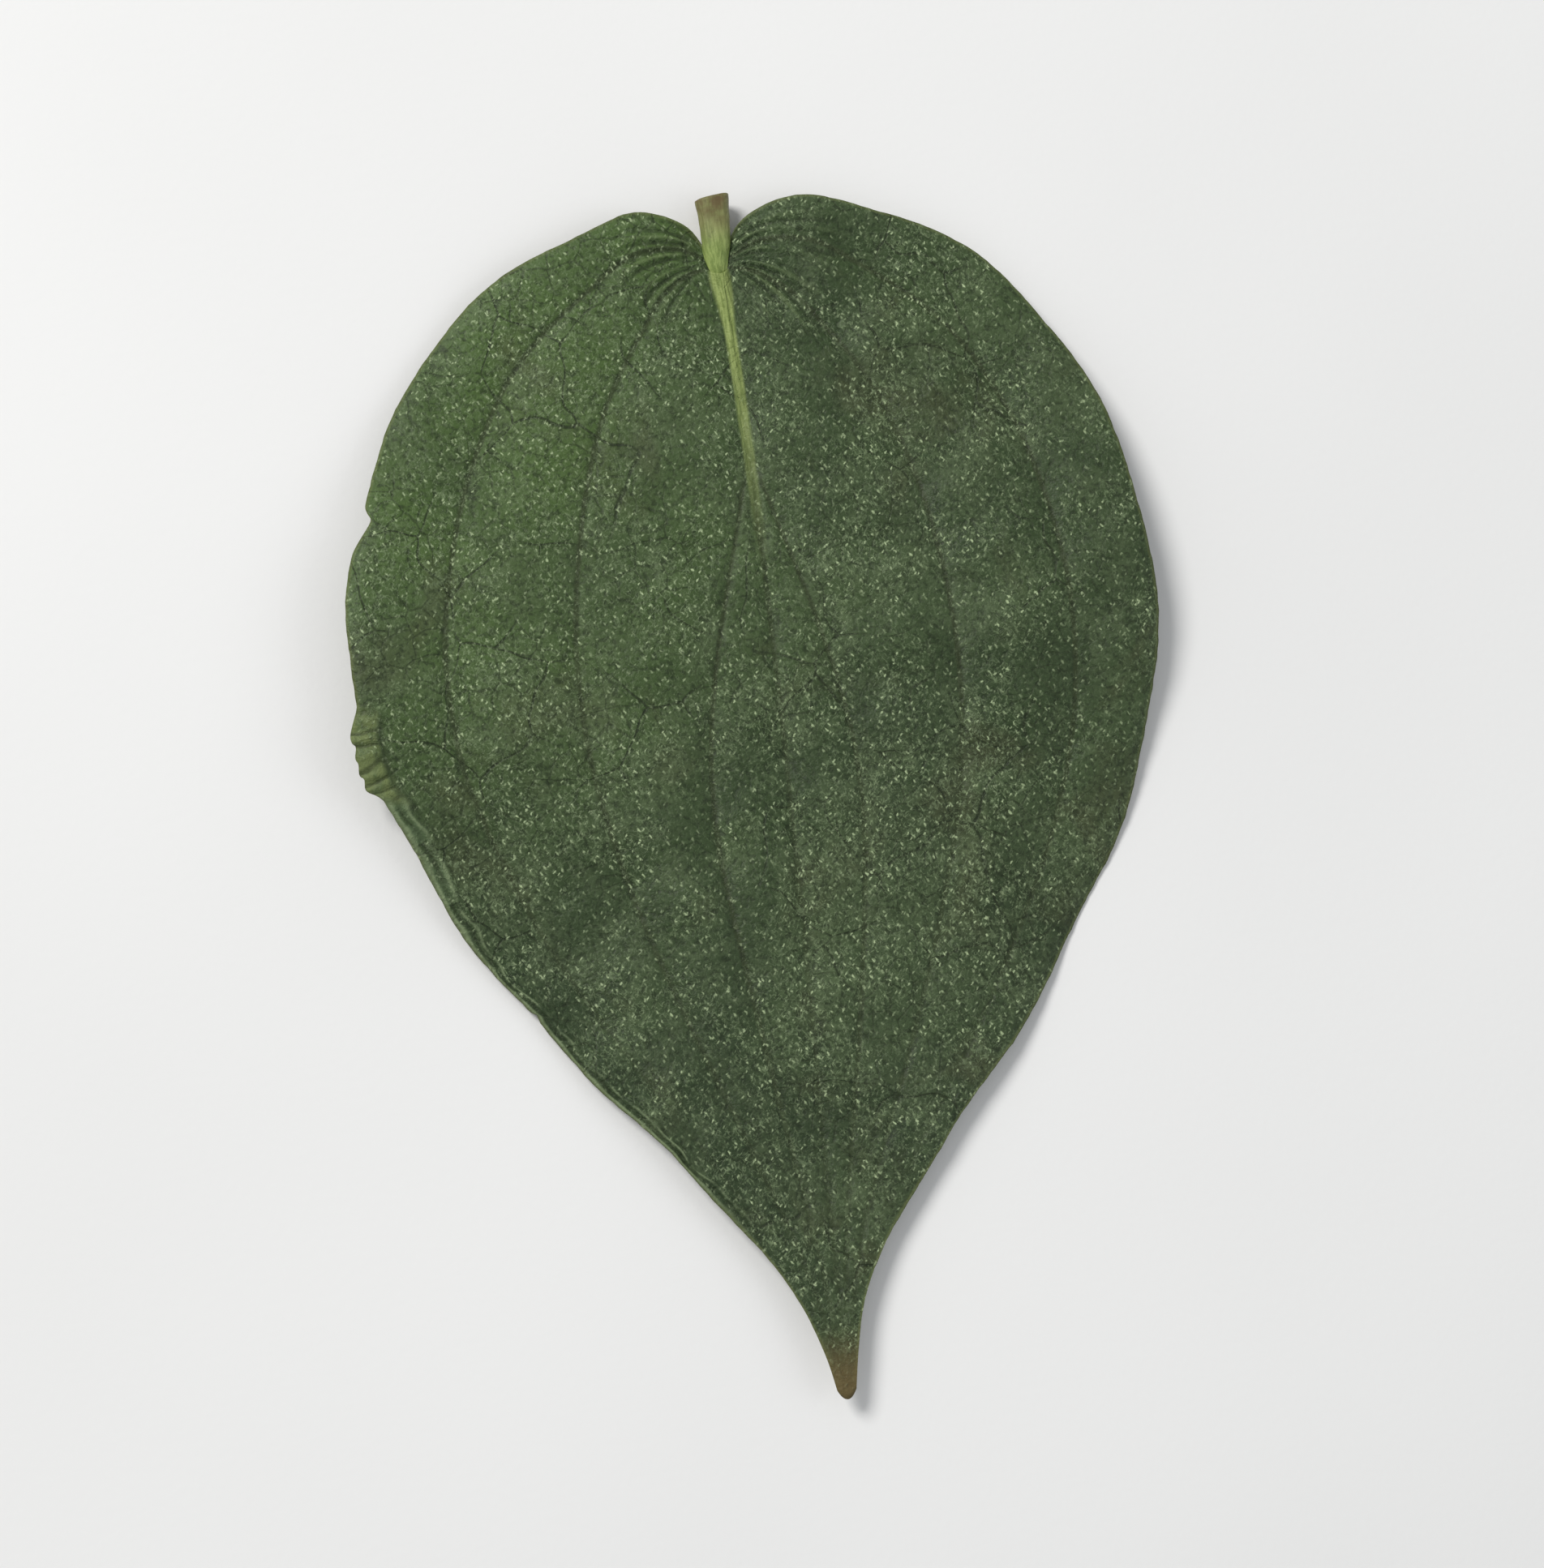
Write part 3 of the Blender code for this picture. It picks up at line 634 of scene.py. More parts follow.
def roll_form(u, t, rim):
    """The rolled margin: two crests beside each other, and small folds across the flap above it.

    Returns the height and the values that the materials read.
    """
    left = t < 0
    rolls = np.where(left, window(u, ROLL_SPAN), 0.0)
    wide = smooth_step((WIDE_ROLL_END - u) / WIDE_ROLL_FADES_OVER)
    width = SLIM_ROLL_WIDTH + (1 - SLIM_ROLL_WIDTH) * wide + ripple(u, ROLL_WIDTH_WAVES)
    rolled = rim / width + ripple(u, ROLL_WANDERS) * smooth_step(rim / WANDER_FROM)
    crests = bell(rolled, *OUTER_CREST) + INNER_CREST_SHARE * bell(rolled, *INNER_CREST)
    roll = ROLL_HEIGHT * rolls * (crests - VALLEY_SHARE * bell(rolled, *VALLEY))
    roll = roll * (SLIM_ROLL_HEIGHT + (1 - SLIM_ROLL_HEIGHT) * wide)
    folds = np.where(left, window(u, FOLD_SPAN), 0.0) * smooth_step((FOLD_REACH - rim) / FOLD_EDGE)
    slant = FOLD_SLANT + STEEPER_SLANT * smooth_step((u - STEEPER_FROM) / STEEPER_OVER)
    phase = TURN * u / FOLD_PITCH + ripple(u, FOLD_BUNCHES) + slant * rim / MM
    phase = phase - FOLD_BEND * np.sin(FOLD_BEND_PACE * rim / MM)
    fold_height = FOLD_MEAN_HEIGHT + ripple(u, FOLD_HEIGHT_WAVES)
    crease = np.where(left, window(u, CREASE_SPAN) * bell(rim, FOLD_REACH, CREASE_WIDTH), 0.0)
    height = roll + FOLD_HEIGHT * (fold_height * folds * np.sin(phase) - CREASE_DEPTH * crease)
    values = {
        "roll": rolls,
        "roll_mm": rolled / MM,
        "roll_wide": rolls * wide,
        "fold": folds,
        "fold_wave": np.sin(phase),
        "crease": crease,
    }
    return height, values


def pleats(u, t, from_junction):
    """Fine wrinkles that run out from the junction and follow the veins."""
    a = np.abs(t)
    x, y = plan(u, t)
    wobble = wave_field(x, y, PLEAT_SEEDS[0], PLEAT_WOBBLE_LENGTH)
    uneven = wave_field(x, y, PLEAT_SEEDS[1], PLEAT_UNEVEN_LENGTH)
    uneven = 1 - PLEAT_UNEVENNESS + PLEAT_UNEVENNESS * uneven
    fade = window(from_junction, PLEAT_SPAN)
    sides = smooth_step((a - PLEAT_SIDE_START) / PLEAT_SIDE_GROWS_OVER)
    sides = PLEAT_MIDDLE_SHARE + (1 - PLEAT_MIDDLE_SHARE) * sides
    total = 0.0
    for size, share, sway, phase in PLEAT_SETS:
        total = total + size * np.cos(TURN * (share * PLEATS * a + sway * wobble + phase))
    return fade * sides * uneven * total


def midrib_ridge(t, across, from_junction):
    """The midrib's ridge on the upper face, and how much of its strength it still has."""
    fade = smooth_step((RIDGE_REACH - from_junction) / RIDGE_REACH)
    swell = bell(from_junction, 0.0, SWELL_WIDTH)
    off = np.abs(t) * across / (RIDGE_HALF_WIDTH + RIDGE_FLARE * swell)
    ridge = (RIDGE_HEIGHT + RIDGE_SWELL * swell) * fade * np.clip(1 - off**2, 0, 1) ** RIDGE_POWER
    return ridge, fade


def blade_relief(u, t):
    """Heights of the under and upper face before levelling, and the values the materials read."""
    x, y = plan(u, t)
    across = spacing(u, t)
    from_junction = np.hypot(x, y)
    rim = (1 - np.abs(t)) * across
    inland = smooth_step(rim / INLAND)
    depth = ribs(u, t, across, FINE_MIDRIB, FINE_VEIN)
    cross_gap = cell_gap(x, y, cross_vein_seeds())
    areole_gap = cell_gap(x, y, areole_seeds())
    spread = smooth_step(from_junction / RELIEF_REACH) * inland
    cross = np.clip(1 - cross_gap / CROSS_HALF_WIDTH, 0, 1) ** 2 * inland * spread
    hollow = (smooth_step(areole_gap / AREOLE_EDGE) - 1) * spread
    crumple = 0.0
    for number, (length, height) in enumerate(CRUMPLE):
        crumple = crumple + height * wave_field(x, y, CRUMPLE_SEED + number, length)
    crumple = crumple * smooth_step(from_junction / CRUMPLE_REACH)
    crumple = crumple * (CRUMPLE_AT_MARGIN + (1 - CRUMPLE_AT_MARGIN) * inland)
    roll, roll_values = roll_form(u, t, rim)
    pleat = pleats(u, t, from_junction)
    shared = broad_form(u, t, across, FINE_BULGE) + crumple + roll + PLEAT_HEIGHT * pleat
    thin = EDGE_THICKNESS + (THICKNESS - EDGE_THICKNESS) * smooth_step(rim / EDGE_REACH)
    thin = thin * smooth_step(TIP_THICKNESS_SHARE + (1 - u) / TIP_THINS_OVER)
    ridge, ridge_fade = midrib_ridge(t, across, from_junction)
    under = shared - depth - CROSS_RIB * cross + AREOLE_PUFF * hollow
    over = shared + thin - GROOVE_SHARE * depth * (1 - ridge_fade) + ridge
    over = over - CROSS_GROOVE * cross + AREOLE_DOME * hollow
    vein, power = nearest_vein(u, t, across)
    values = {
        "vein_mm": vein / MM,
        "vein_power": power,
        "midrib_mm": np.abs(t) * across / MM,
        "side": t,
        "rim_mm": rim / MM,
        "cross_mm": cross_gap / MM,
        "areole_mm": areole_gap / MM,
        "base_mm": from_junction / MM,
        "tip_mm": (BLADE_LENGTH + y) / MM,
        "pleat": pleat,
    }
    values.update(roll_values)
    return under, over, values


def new_piece(name, points, faces, materials, face_materials):
    """A shaded mesh object that rides on the CAD body and stands for the CAD leaf."""
    mesh = bpy.data.meshes.new(name)
    mesh.from_pydata(points, [], faces)
    for material in materials:
        mesh.materials.append(material)
    mesh.polygons.foreach_set("material_index", face_materials)
    mesh.shade_smooth()
    mesh.update()
    item = bpy.data.objects.new(name, mesh)
    bpy.context.scene.collection.objects.link(item)
    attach(item, "root")
    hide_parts(CAD_NODE)
    return item


def set_values(item, values):
    """Store one number per point for each name, for the materials to read."""
    for name, numbers in values.items():
        layer = item.data.attributes.new(name, "FLOAT", "POINT")
        layer.data.foreach_set("value", numbers.astype(np.float32))


def grid_quads(rows, columns):
    """Quads of a grid of points, wound to face downwards."""
    here = (np.arange(rows)[:, None] * (columns + 1) + np.arange(columns)).ravel()
    return np.column_stack((here, here + 1, here + columns + 2, here + columns + 1))


def rim_loop(rows, columns):
    """Numbers of the points round the outside of a grid."""
    width = columns + 1
    first = list(range(width))
    right = [row * width + columns for row in range(1, rows + 1)]
    last = [rows * width + column for column in range(columns - 1, -1, -1)]
    left = [row * width for row in range(rows - 1, 0, -1)]
    return first + right + last + left


def build_blade(lie, materials):
    """The blade: two fine faces and a thin wall round them. Returns the height that is let down to 0."""
    shift_x, shift_y, level = lie
    u_rows, t_columns = blade_rows(), blade_columns()
    rows, columns = len(u_rows) - 1, len(t_columns) - 1
    u, t = np.meshgrid(u_rows, t_columns, indexing="ij")
    u, t = u.ravel(), gather_columns(u.ravel(), t.ravel())
    x, y = fine_plan(u, t)
    x, y = x + shift_x, y + shift_y
    under, over, values = blade_relief(u, t)
    slope = level[0] * x + level[1] * y
    under, over = under - slope, over - slope
    ground = under.min() + CONTACT_BAND
    press = np.maximum(ground - under, 0.0)
    under, over = under + press - ground, over + press - ground
    count = len(u)
    points = np.vstack((np.column_stack((x, y, under)), np.column_stack((x, y, over))))
    low_faces = grid_quads(rows, columns)
    high_faces = low_faces[:, ::-1] + count
    loop = np.array(rim_loop(rows, columns))
    ahead = np.roll(loop, -1)
    wall = np.column_stack((ahead, loop, loop + count, ahead + count))
    faces = np.vstack((low_faces, high_faces, wall))
    kinds = [UNDER] * len(low_faces) + [UPPER] * len(high_faces) + [RIM] * len(wall)
    blade = new_piece("leaf_blade", points.tolist(), faces.tolist(), materials, kinds)
    set_values(blade, {name: np.tile(numbers, 2) for name, numbers in values.items()})
    return ground


def stalk_surface(draw):
    """Points round the stub before it is levelled: across, along from the junction, and up."""
    key, *sizes = np.array(STALK_SECTIONS).T * MM
    end, start = key[0], key[-1]
    angles = np.linspace(0, TURN, STALK_SIDES, endpoint=False)
    share, angle = np.meshgrid(np.linspace(0.0, 1.0, STALK_RINGS), angles, indexing="ij")
    share, angle = share.ravel(), angle.ravel()
    along = start + (end - start) * share
    half_width, half_height, middle = (np.interp(along, key, size) for size in sizes)
    upward = smooth_step(along / STALK_ZONE)
    midrib_share = (-along - JUNCTION_RADIUS) / (BLADE_LENGTH - JUNCTION_RADIUS)
    midrib_u = np.clip(midrib_share, 0, 1) ** (1 / MIDRIB_PACE)
    bend = STALK_BEND * np.sin(along / STALK_BEND_LENGTH) * smooth_step(along / STALK_BEND_FROM)
    sideways = MIDRIB_BOW * np.sin(math.pi * midrib_u) + bend
    channel = 1.0 - STALK_CHANNEL * upward * np.maximum(0.0, np.sin(angle)) ** STALK_CHANNEL_POWER
    furrow = np.zeros_like(angle)
    for number in FURROWS:
        twist = draw.uniform(-FURROW_TWIST, FURROW_TWIST) / MM
        phase = draw.uniform(*FURROW_PHASES)
        furrow += np.cos(number * angle + twist * along + phase) / math.sqrt(number)
    rings = np.sin(TURN * along / STALK_RING_PITCH + STALK_RING_LEAN * np.sin(angle))
    bump = FURROW_DEPTH * furrow + STALK_RING_DEPTH * rings
    bump = bump * smooth_step((along - end) / STALK_ZONE)
    flare = 1 + STALK_FLARE * bell(along, start, STALK_FLARE_WIDTH)
    x = (half_width * flare + bump) * np.cos(angle) + sideways
    z = middle + (half_height * flare * channel + bump) * np.sin(angle)
    y = along + STALK_SKEW * upward * (half_width * np.cos(angle) - STALK_SKEW_BACK)
    return x, y, z


def cut_face(points, draw):
    """Close the stalk's free end with rings that sink a little towards a torn, dried middle."""
    rim = np.array(points[:STALK_SIDES])
    centre = rim.mean(axis=0)
    faces = []
    before = list(range(STALK_SIDES))
    for share, sink in CUT_RINGS:
        ring = centre + (rim - centre) * share
        rough = draw.uniform(-CUT_ROUGHNESS, CUT_ROUGHNESS, STALK_SIDES)
        ring[:, 1] -= sink + (rough if sink else 0.0)
        start = len(points)
        points = points + ring.tolist()
        for side in range(STALK_SIDES):
            beside = (side + 1) % STALK_SIDES
            faces.append((before[beside], before[side], start + side, start + beside))
        before = list(range(start, start + STALK_SIDES))
    faces.append(tuple(reversed(before)))
    return points, faces


def build_stalk(lie, ground, materials):
    """The trimmed stub of the leaf stalk, which sinks into the base of the midrib."""
    shift_x, shift_y, level = lie
    draw = np.random.default_rng(STALK_SEED)
    x, y, z = stalk_surface(draw)
    points = np.column_stack((x + shift_x, y + shift_y, z))
    points[:, 2] -= level[0] * points[:, 0] + level[1] * points[:, 1] + ground
    points[:, 2] = np.maximum(points[:, 2], 0.0)
    faces = []
    for ring in range(STALK_RINGS - 1):
        for side in range(STALK_SIDES):
            here = ring * STALK_SIDES + side
            beside = ring * STALK_SIDES + (side + 1) % STALK_SIDES
            faces.append((here, beside, beside + STALK_SIDES, here + STALK_SIDES))
    points, cut_faces = cut_face(points.tolist(), draw)
    last = (STALK_RINGS - 1) * STALK_SIDES
    inner_end = tuple(range(last, last + STALK_SIDES))
    kinds = [SKIN] * len(faces) + [CUT] * len(cut_faces) + [SKIN]
    stalk = new_piece("leaf_stalk", points, faces + cut_faces + [inner_end], materials, kinds)
    from_end = STALK_LENGTH + shift_y - np.array([point[1] for point in points])
    set_values(stalk, {"stalk_mm": from_end / MM})


# Colours of the upper face: its ground, its veins, its skin and its margin, with the painted shade and
# highlights of its skin, its pleats, its rolled margin and its folds
UPPER_DARK = (0.026, 0.044, 0.0175)
UPPER_OLIVE = (0.043, 0.068, 0.0275)
UPPER_GREEN = (0.066, 0.114, 0.0300)
UPPER_BROWN = (0.053, 0.054, 0.0245)
UPPER_GREY = (0.082, 0.114, 0.0530)
FINE_NET = (0.020, 0.030, 0.0110)
LARGE_NET = (0.016, 0.024, 0.0090)
CROSS_VEIN = (0.024, 0.036, 0.0130)
MAIN_VEIN = (0.028, 0.038, 0.0140)
PEBBLE_SHADE = (0.010, 0.017, 0.0060)
SKIN_DOME = (0.165, 0.230, 0.105)
STROKE_HIGHLIGHT = (0.225, 0.300, 0.155)
UPPER_WRINKLE_HIGHLIGHT = (0.240, 0.315, 0.170)
SKIN_GLINT = (0.430, 0.530, 0.300)
PLEAT_SHADE = (0.014, 0.022, 0.0080)
PLEAT_HIGHLIGHT = (0.150, 0.205, 0.085)
MIDRIB_GREEN = (0.170, 0.225, 0.062)
MIDRIB_PALE = (0.280, 0.345, 0.115)
UPPER_EDGE = (0.130, 0.155, 0.055)
ROLL_BAND = (0.108, 0.160, 0.078)
VALLEY_SHADE = (0.018, 0.028, 0.0105)
CREST_HIGHLIGHT = (0.185, 0.240, 0.125)
FLAP = (0.145, 0.182, 0.066)
FOLD_GAP_SHADE = (0.036, 0.048, 0.016)
UPPER_TIP = (0.125, 0.092, 0.036)

# Colours of the underside and of the thin rim, with the painted highlights of the underside's wrinkles and
# the painted shade beside its ribs
UNDER_DARK = (0.072, 0.100, 0.050)
UNDER_OLIVE = (0.108, 0.128, 0.066)
UNDER_GREEN = (0.080, 0.122, 0.044)
UNDER_PUFF = (0.160, 0.192, 0.112)
UNDER_FINE_NET = (0.034, 0.047, 0.020)
UNDER_NET = (0.026, 0.037, 0.015)
UNDER_CROSS_VEIN = (0.052, 0.060, 0.026)
UNDER_WRINKLE_HIGHLIGHT = (0.235, 0.275, 0.180)
RIB_SHADE = (0.042, 0.054, 0.024)
YOUNG_RIB = ((0.190, 0.205, 0.072), (0.255, 0.265, 0.108))
OLD_RIB = ((0.105, 0.100, 0.046), (0.150, 0.138, 0.068))
UNDER_EDGE = (0.120, 0.130, 0.058)
UNDER_TIP = (0.140, 0.105, 0.046)
RIM_COLOURS = ((0.120, 0.128, 0.054), (0.185, 0.178, 0.080))

# Colours of the stalk, its cut end and the floor
STALK_COLOURS = ((0.180, 0.215, 0.070), (0.285, 0.325, 0.122))
STALK_BASE_COLOURS = ((0.172, 0.238, 0.060), (0.290, 0.372, 0.112))
STALK_BROWN = (0.120, 0.078, 0.034)
STALK_SPOT = (0.060, 0.048, 0.022)
CUT_COLOURS = ((0.046, 0.026, 0.012), (0.155, 0.104, 0.050))
FLOOR_COLOURS = ((0.800, 0.800, 0.795), (0.830, 0.830, 0.825))


class Shader:
    """One material, with short ways to add and join its nodes.

    It keeps the colour painted and the relief embossed so far. Sizes and heights are in metres.
    """

    def __init__(self, name):
        self.material = bpy.data.materials.new(name)
        self.material.use_nodes = True
        self.tree = self.material.node_tree
        self.surface = self.tree.nodes["Principled BSDF"]
        self.place = self.node("ShaderNodeTexCoord").outputs["Object"]
        self.colour = None
        self.normal = None

    def feed(self, socket, value):
        """Link an output to the socket, or set it to a constant."""
        if isinstance(value, bpy.types.NodeSocket):
            self.tree.links.new(value, socket)
        else:
            socket.default_value = value

    def node(self, kind, **inputs):
        """A new node of this kind, with these of its inputs fed."""
        node = self.tree.nodes.new(kind)
        for name, value in inputs.items():
            self.feed(node.inputs[name], value)
        return node

    def maths(self, operation, first, second=0.0):
        """The result of one sum on outputs or numbers."""
        node = self.node("ShaderNodeMath")
        node.operation = operation
        self.feed(node.inputs[0], first)
        self.feed(node.inputs[1], second)
        return node.outputs[0]

    def times(self, product, *values):
        """The product of two or more outputs or numbers."""
        for value in values:
            product = self.maths("MULTIPLY", product, value)
        return product

    def plus(self, first, second):
        return self.maths("ADD", first, second)

    def most(self, first, second):
        return self.maths("MAXIMUM", first, second)

    def rest(self, share):
        """What the share leaves of 1."""
        return self.maths("SUBTRACT", 1.0, share)

    def rise(self, value, low, high, start=0.0, end=1.0):
        """A smooth step from start to end while the value goes from low to high."""
        node = self.node("ShaderNodeMapRange", Value=value)
        node.interpolation_type = "SMOOTHSTEP"
        for name, number in zip(("From Min", "From Max", "To Min", "To Max"), (low, high, start, end)):
            node.inputs[name].default_value = number
        return node.outputs["Result"]

    def line(self, value, level, reach):
        """1 where the value is at the level, down to 0 at this reach from it."""
        off = self.maths("ABSOLUTE", self.plus(value, -level))
        return self.rise(off, 0.0, reach, 1.0, 0.0)

    def value(self, name):
        """A number that the mesh stores at its points."""
        node = self.node("ShaderNodeAttribute")
        node.attribute_name = name
        return node.outputs["Fac"]

    def noise(self, size, detail=2.0, roughness=0.5, warp=0.0, place=None):
        """Soft noise of about 0 to 1, in patches of about this size."""
        node = self.node(
            "ShaderNodeTexNoise",
            Vector=place or self.place,
            Scale=1.0 / size,
            Detail=detail,
            Roughness=roughness,
            Distortion=warp,
        )
        return node.outputs["Fac"]

    def patches(self, size, low, high, start=0.0, end=1.0, detail=3.0, roughness=0.6, warp=0.0):
        """Patches of about this size: a smooth step from start to end over noise of low to high."""
        return self.rise(self.noise(size, detail, roughness, warp), low, high, start, end)

    def turned(self, degrees, stretch):
        """Object coordinates turned about Z and drawn out along the turned Y axis."""
        turn = (0.0, 0.0, math.radians(degrees))
        node = self.node("ShaderNodeMapping", Vector=self.place, Rotation=turn, Scale=(1.0, stretch, 1.0))
        node.vector_type = "TEXTURE"
        return node.outputs["Vector"]

    def warped(self, size, amount, place=None):
        """Coordinates pushed about by soft noise of this size, which itself swings by a quarter."""
        noise = self.node("ShaderNodeTexNoise", Vector=self.place, Scale=1.0 / size, Detail=1.0)
        push = self.node("ShaderNodeVectorMath")
        push.operation = "MULTIPLY_ADD"
        self.feed(push.inputs[0], noise.outputs["Color"])
        push.inputs[1].default_value = (4 * amount, 4 * amount, 0.0)
        self.feed(push.inputs[2], place or self.place)
        return push.outputs[0]

    def cells(self, size, feature, place):
        """Distance and colour of a flat cell pattern of about this size."""
        node = self.node("ShaderNodeTexVoronoi", Vector=place, Scale=1.0 / size)
        node.voronoi_dimensions = "2D"
        node.feature = feature
        return node.outputs

    def blend(self, share, first, second):
        """Mix two colours, each a socket or three numbers."""
        node = self.node("ShaderNodeMix")
        node.data_type = "RGBA"
        self.feed(node.inputs[0], share)
        for socket, colour in ((node.inputs[6], first), (node.inputs[7], second)):
            self.feed(socket, colour if isinstance(colour, bpy.types.NodeSocket) else (*colour, 1.0))
        return node.outputs[2]

    def ground(self, share, first, second):
        """Start the paint with a mix of two colours."""
        self.colour = self.blend(share, first, second)

    def paint(self, colour, *shares):
        """Lay a colour over the paint so far, by the product of these shares."""
        self.colour = self.blend(self.times(*shares), self.colour, colour)

    def emboss(self, shape, height):
        """Add small relief to what is there: a shape of about 0 to 1 stands this high."""
        node = self.node("ShaderNodeBump", Distance=height, Height=shape)
        if self.normal is not None:
            self.feed(node.inputs["Normal"], self.normal)
        self.normal = node.outputs["Normal"]

    def finish(self, roughness, gloss):
        """Give the surface its paint and relief, and return the material."""
        self.feed(self.surface.inputs["Base Color"], self.colour)
        self.feed(self.surface.inputs["Roughness"], roughness)
        self.feed(self.surface.inputs["Normal"], self.normal)
        self.surface.inputs["Specular IOR Level"].default_value = gloss
        return self.material


def strokes(shader, size, degrees):
    """Short uneven strokes: the high places of a noise drawn out in one direction."""
    drawn_out = shader.noise(size, 1.5, 0.6, 0.35, shader.turned(degrees, 2.0))
    return shader.rise(drawn_out, 0.55, 0.76)


def glints(shader, size, degrees):
    """Small scattered dots and dashes: one in about half of the cells, each of its own strength."""
    place = shader.warped(0.4 * size, 0.10 * size, shader.turned(degrees, 1.9))
    cells = shader.cells(size, "F1", place)
    dot = shader.rise(cells["Distance"], 0.04, 0.21, 1.0, 0.0)
    return shader.times(dot, shader.rise(cells["Color"], 0.47, 0.70))


def squiggles(shader, size, width, place=None):
    """Thin winding strokes: the contour lines of a soft noise, broken up into short pieces."""
    winding = shader.line(shader.noise(size, 1.0, 0.5, 0.6, place), 0.5, 0.8 * width / size)
    pieces = shader.rise(shader.noise(0.75 * size, 1.0, 0.5, 0.0, shader.turned(61, 1.3)), 0.48, 0.62)
    return shader.times(winding, pieces)


def fine_wrinkles(shader, first, second):
    """Two sets of winding strokes, each a size and a width, the second turned and drawn out."""
    return shader.most(squiggles(shader, *first), squiggles(shader, *second, shader.turned(37, 1.25)))


def skin_cells(shader, size, degrees):
    """The islands between the finest veins: how domed the skin is there, and each one's own tone."""
    place = shader.warped(2.2 * size, 0.22 * size, shader.turned(degrees, 1.35))
    edge = shader.cells(size, "DISTANCE_TO_EDGE", place)["Distance"]
    return shader.rise(edge, 0.0, 0.32), shader.cells(size, "F1", place)["Color"]


def net(shader, size, warp, low, high):
    """Winding lines round meshes of about this size: 1 on a line, 0 from high on. Warp is a pair."""
    edge = shader.cells(size, "DISTANCE_TO_EDGE", shader.warped(*warp))["Distance"]
    return shader.rise(edge, low, high, 1.0, 0.0)


def paint_upper_ground(shader):
    """The upper face's own colour: dark olive, greener towards the stalk end of the left half."""
    blotch = shader.patches(13 * MM, 0.40, 0.62, roughness=0.55, warp=0.6)
    shader.ground(blotch, UPPER_DARK, UPPER_OLIVE)
    stalkwards = shader.rise(shader.value("tip_mm"), 20, 56)
    leftwards = shader.rise(shader.value("side"), -0.8, 0.4, 1.0, 0.20)
    uneven = shader.patches(9 * MM, 0.35, 0.65, 0.55, 1.0, detail=2, roughness=0.5)
    shader.paint(UPPER_GREEN, stalkwards, leftwards, uneven)
    shader.paint(UPPER_BROWN, shader.patches(7 * MM, 0.54, 0.70, 0.0, 0.45, warp=0.5))
    shader.paint(UPPER_GREY, shader.patches(3.4 * MM, 0.42, 0.70, 0.0, 0.45, detail=4, warp=0.8))


def paint_upper_veins(shader):
    """The veins on the upper face: thin dark lines, the finest faint. Returns the net of fine ones."""
    fine = net(shader, 1.5 * MM, (1.6 * MM, 0.22 * MM), 0.010, 0.060)
    fine = shader.times(fine, shader.patches(5 * MM, 0.42, 0.64, 0.10, 0.60, detail=2, roughness=0.5))
    shader.paint(FINE_NET, fine)
    large = net(shader, 5.5 * MM, (4.0 * MM, 0.8 * MM), 0.004, 0.018)
    large = shader.times(large, shader.patches(8 * MM, 0.45, 0.56, 0.0, 0.85, detail=2))
    shader.paint(LARGE_NET, large)
    shader.paint(CROSS_VEIN, shader.rise(shader.value("cross_mm"), 0.03, 0.20, 0.30, 0.0))
    main = shader.rise(shader.value("vein_mm"), 0.05, 0.26, 1.0, 0.0)
    power = shader.rise(shader.value("vein_power"), 0.0, 0.8, 0.25, 0.78)
    shader.paint(MAIN_VEIN, main, power)
    return shader.most(fine, large)


def paint_roll(shader):
    """The rolled margin's crests with painted highlights and its valley with painted shade, and the
    yellow-green folds of the flap with painted shade in their gaps and crease.
    """
    rolled = shader.value("roll")
    across = shader.value("roll_mm")
    broken = shader.patches(1.1 * MM, 0.36, 0.60)
    band = shader.rise(across, 0.9, 1.5, 0.55, 0.0)
    shader.paint(ROLL_BAND, shader.value("roll_wide"), band, broken)
    # Painted shade in the valley between the roll's crests, and painted highlights on the crests
    valley = shader.plus(shader.times(broken, -0.35), 0.70)
    shader.paint(VALLEY_SHADE, shader.line(across, 0.68, 0.22), rolled, valley)
    outer = shader.times(shader.line(across, 0.24, 0.26), shader.plus(shader.times(broken, 0.45), 0.45))
    inner = shader.times(shader.line(across, 1.08, 0.20), broken, 0.75)
    shader.paint(CREST_HIGHLIGHT, shader.most(outer, inner), rolled)
    fold = shader.value("fold")
    shader.paint(FLAP, fold, shader.patches(0.6 * MM, 0.34, 0.6, 0.30, 0.85))
    # Painted shade in the gaps between the flap's folds
    gap = shader.rise(shader.value("fold_wave"), -0.95, -0.40, 0.72, 0.0)
    shader.paint(FOLD_GAP_SHADE, fold, gap)
    # Painted shade in the crease at the flap's foot
    shader.paint(VALLEY_SHADE, shader.value("crease"), 0.75)


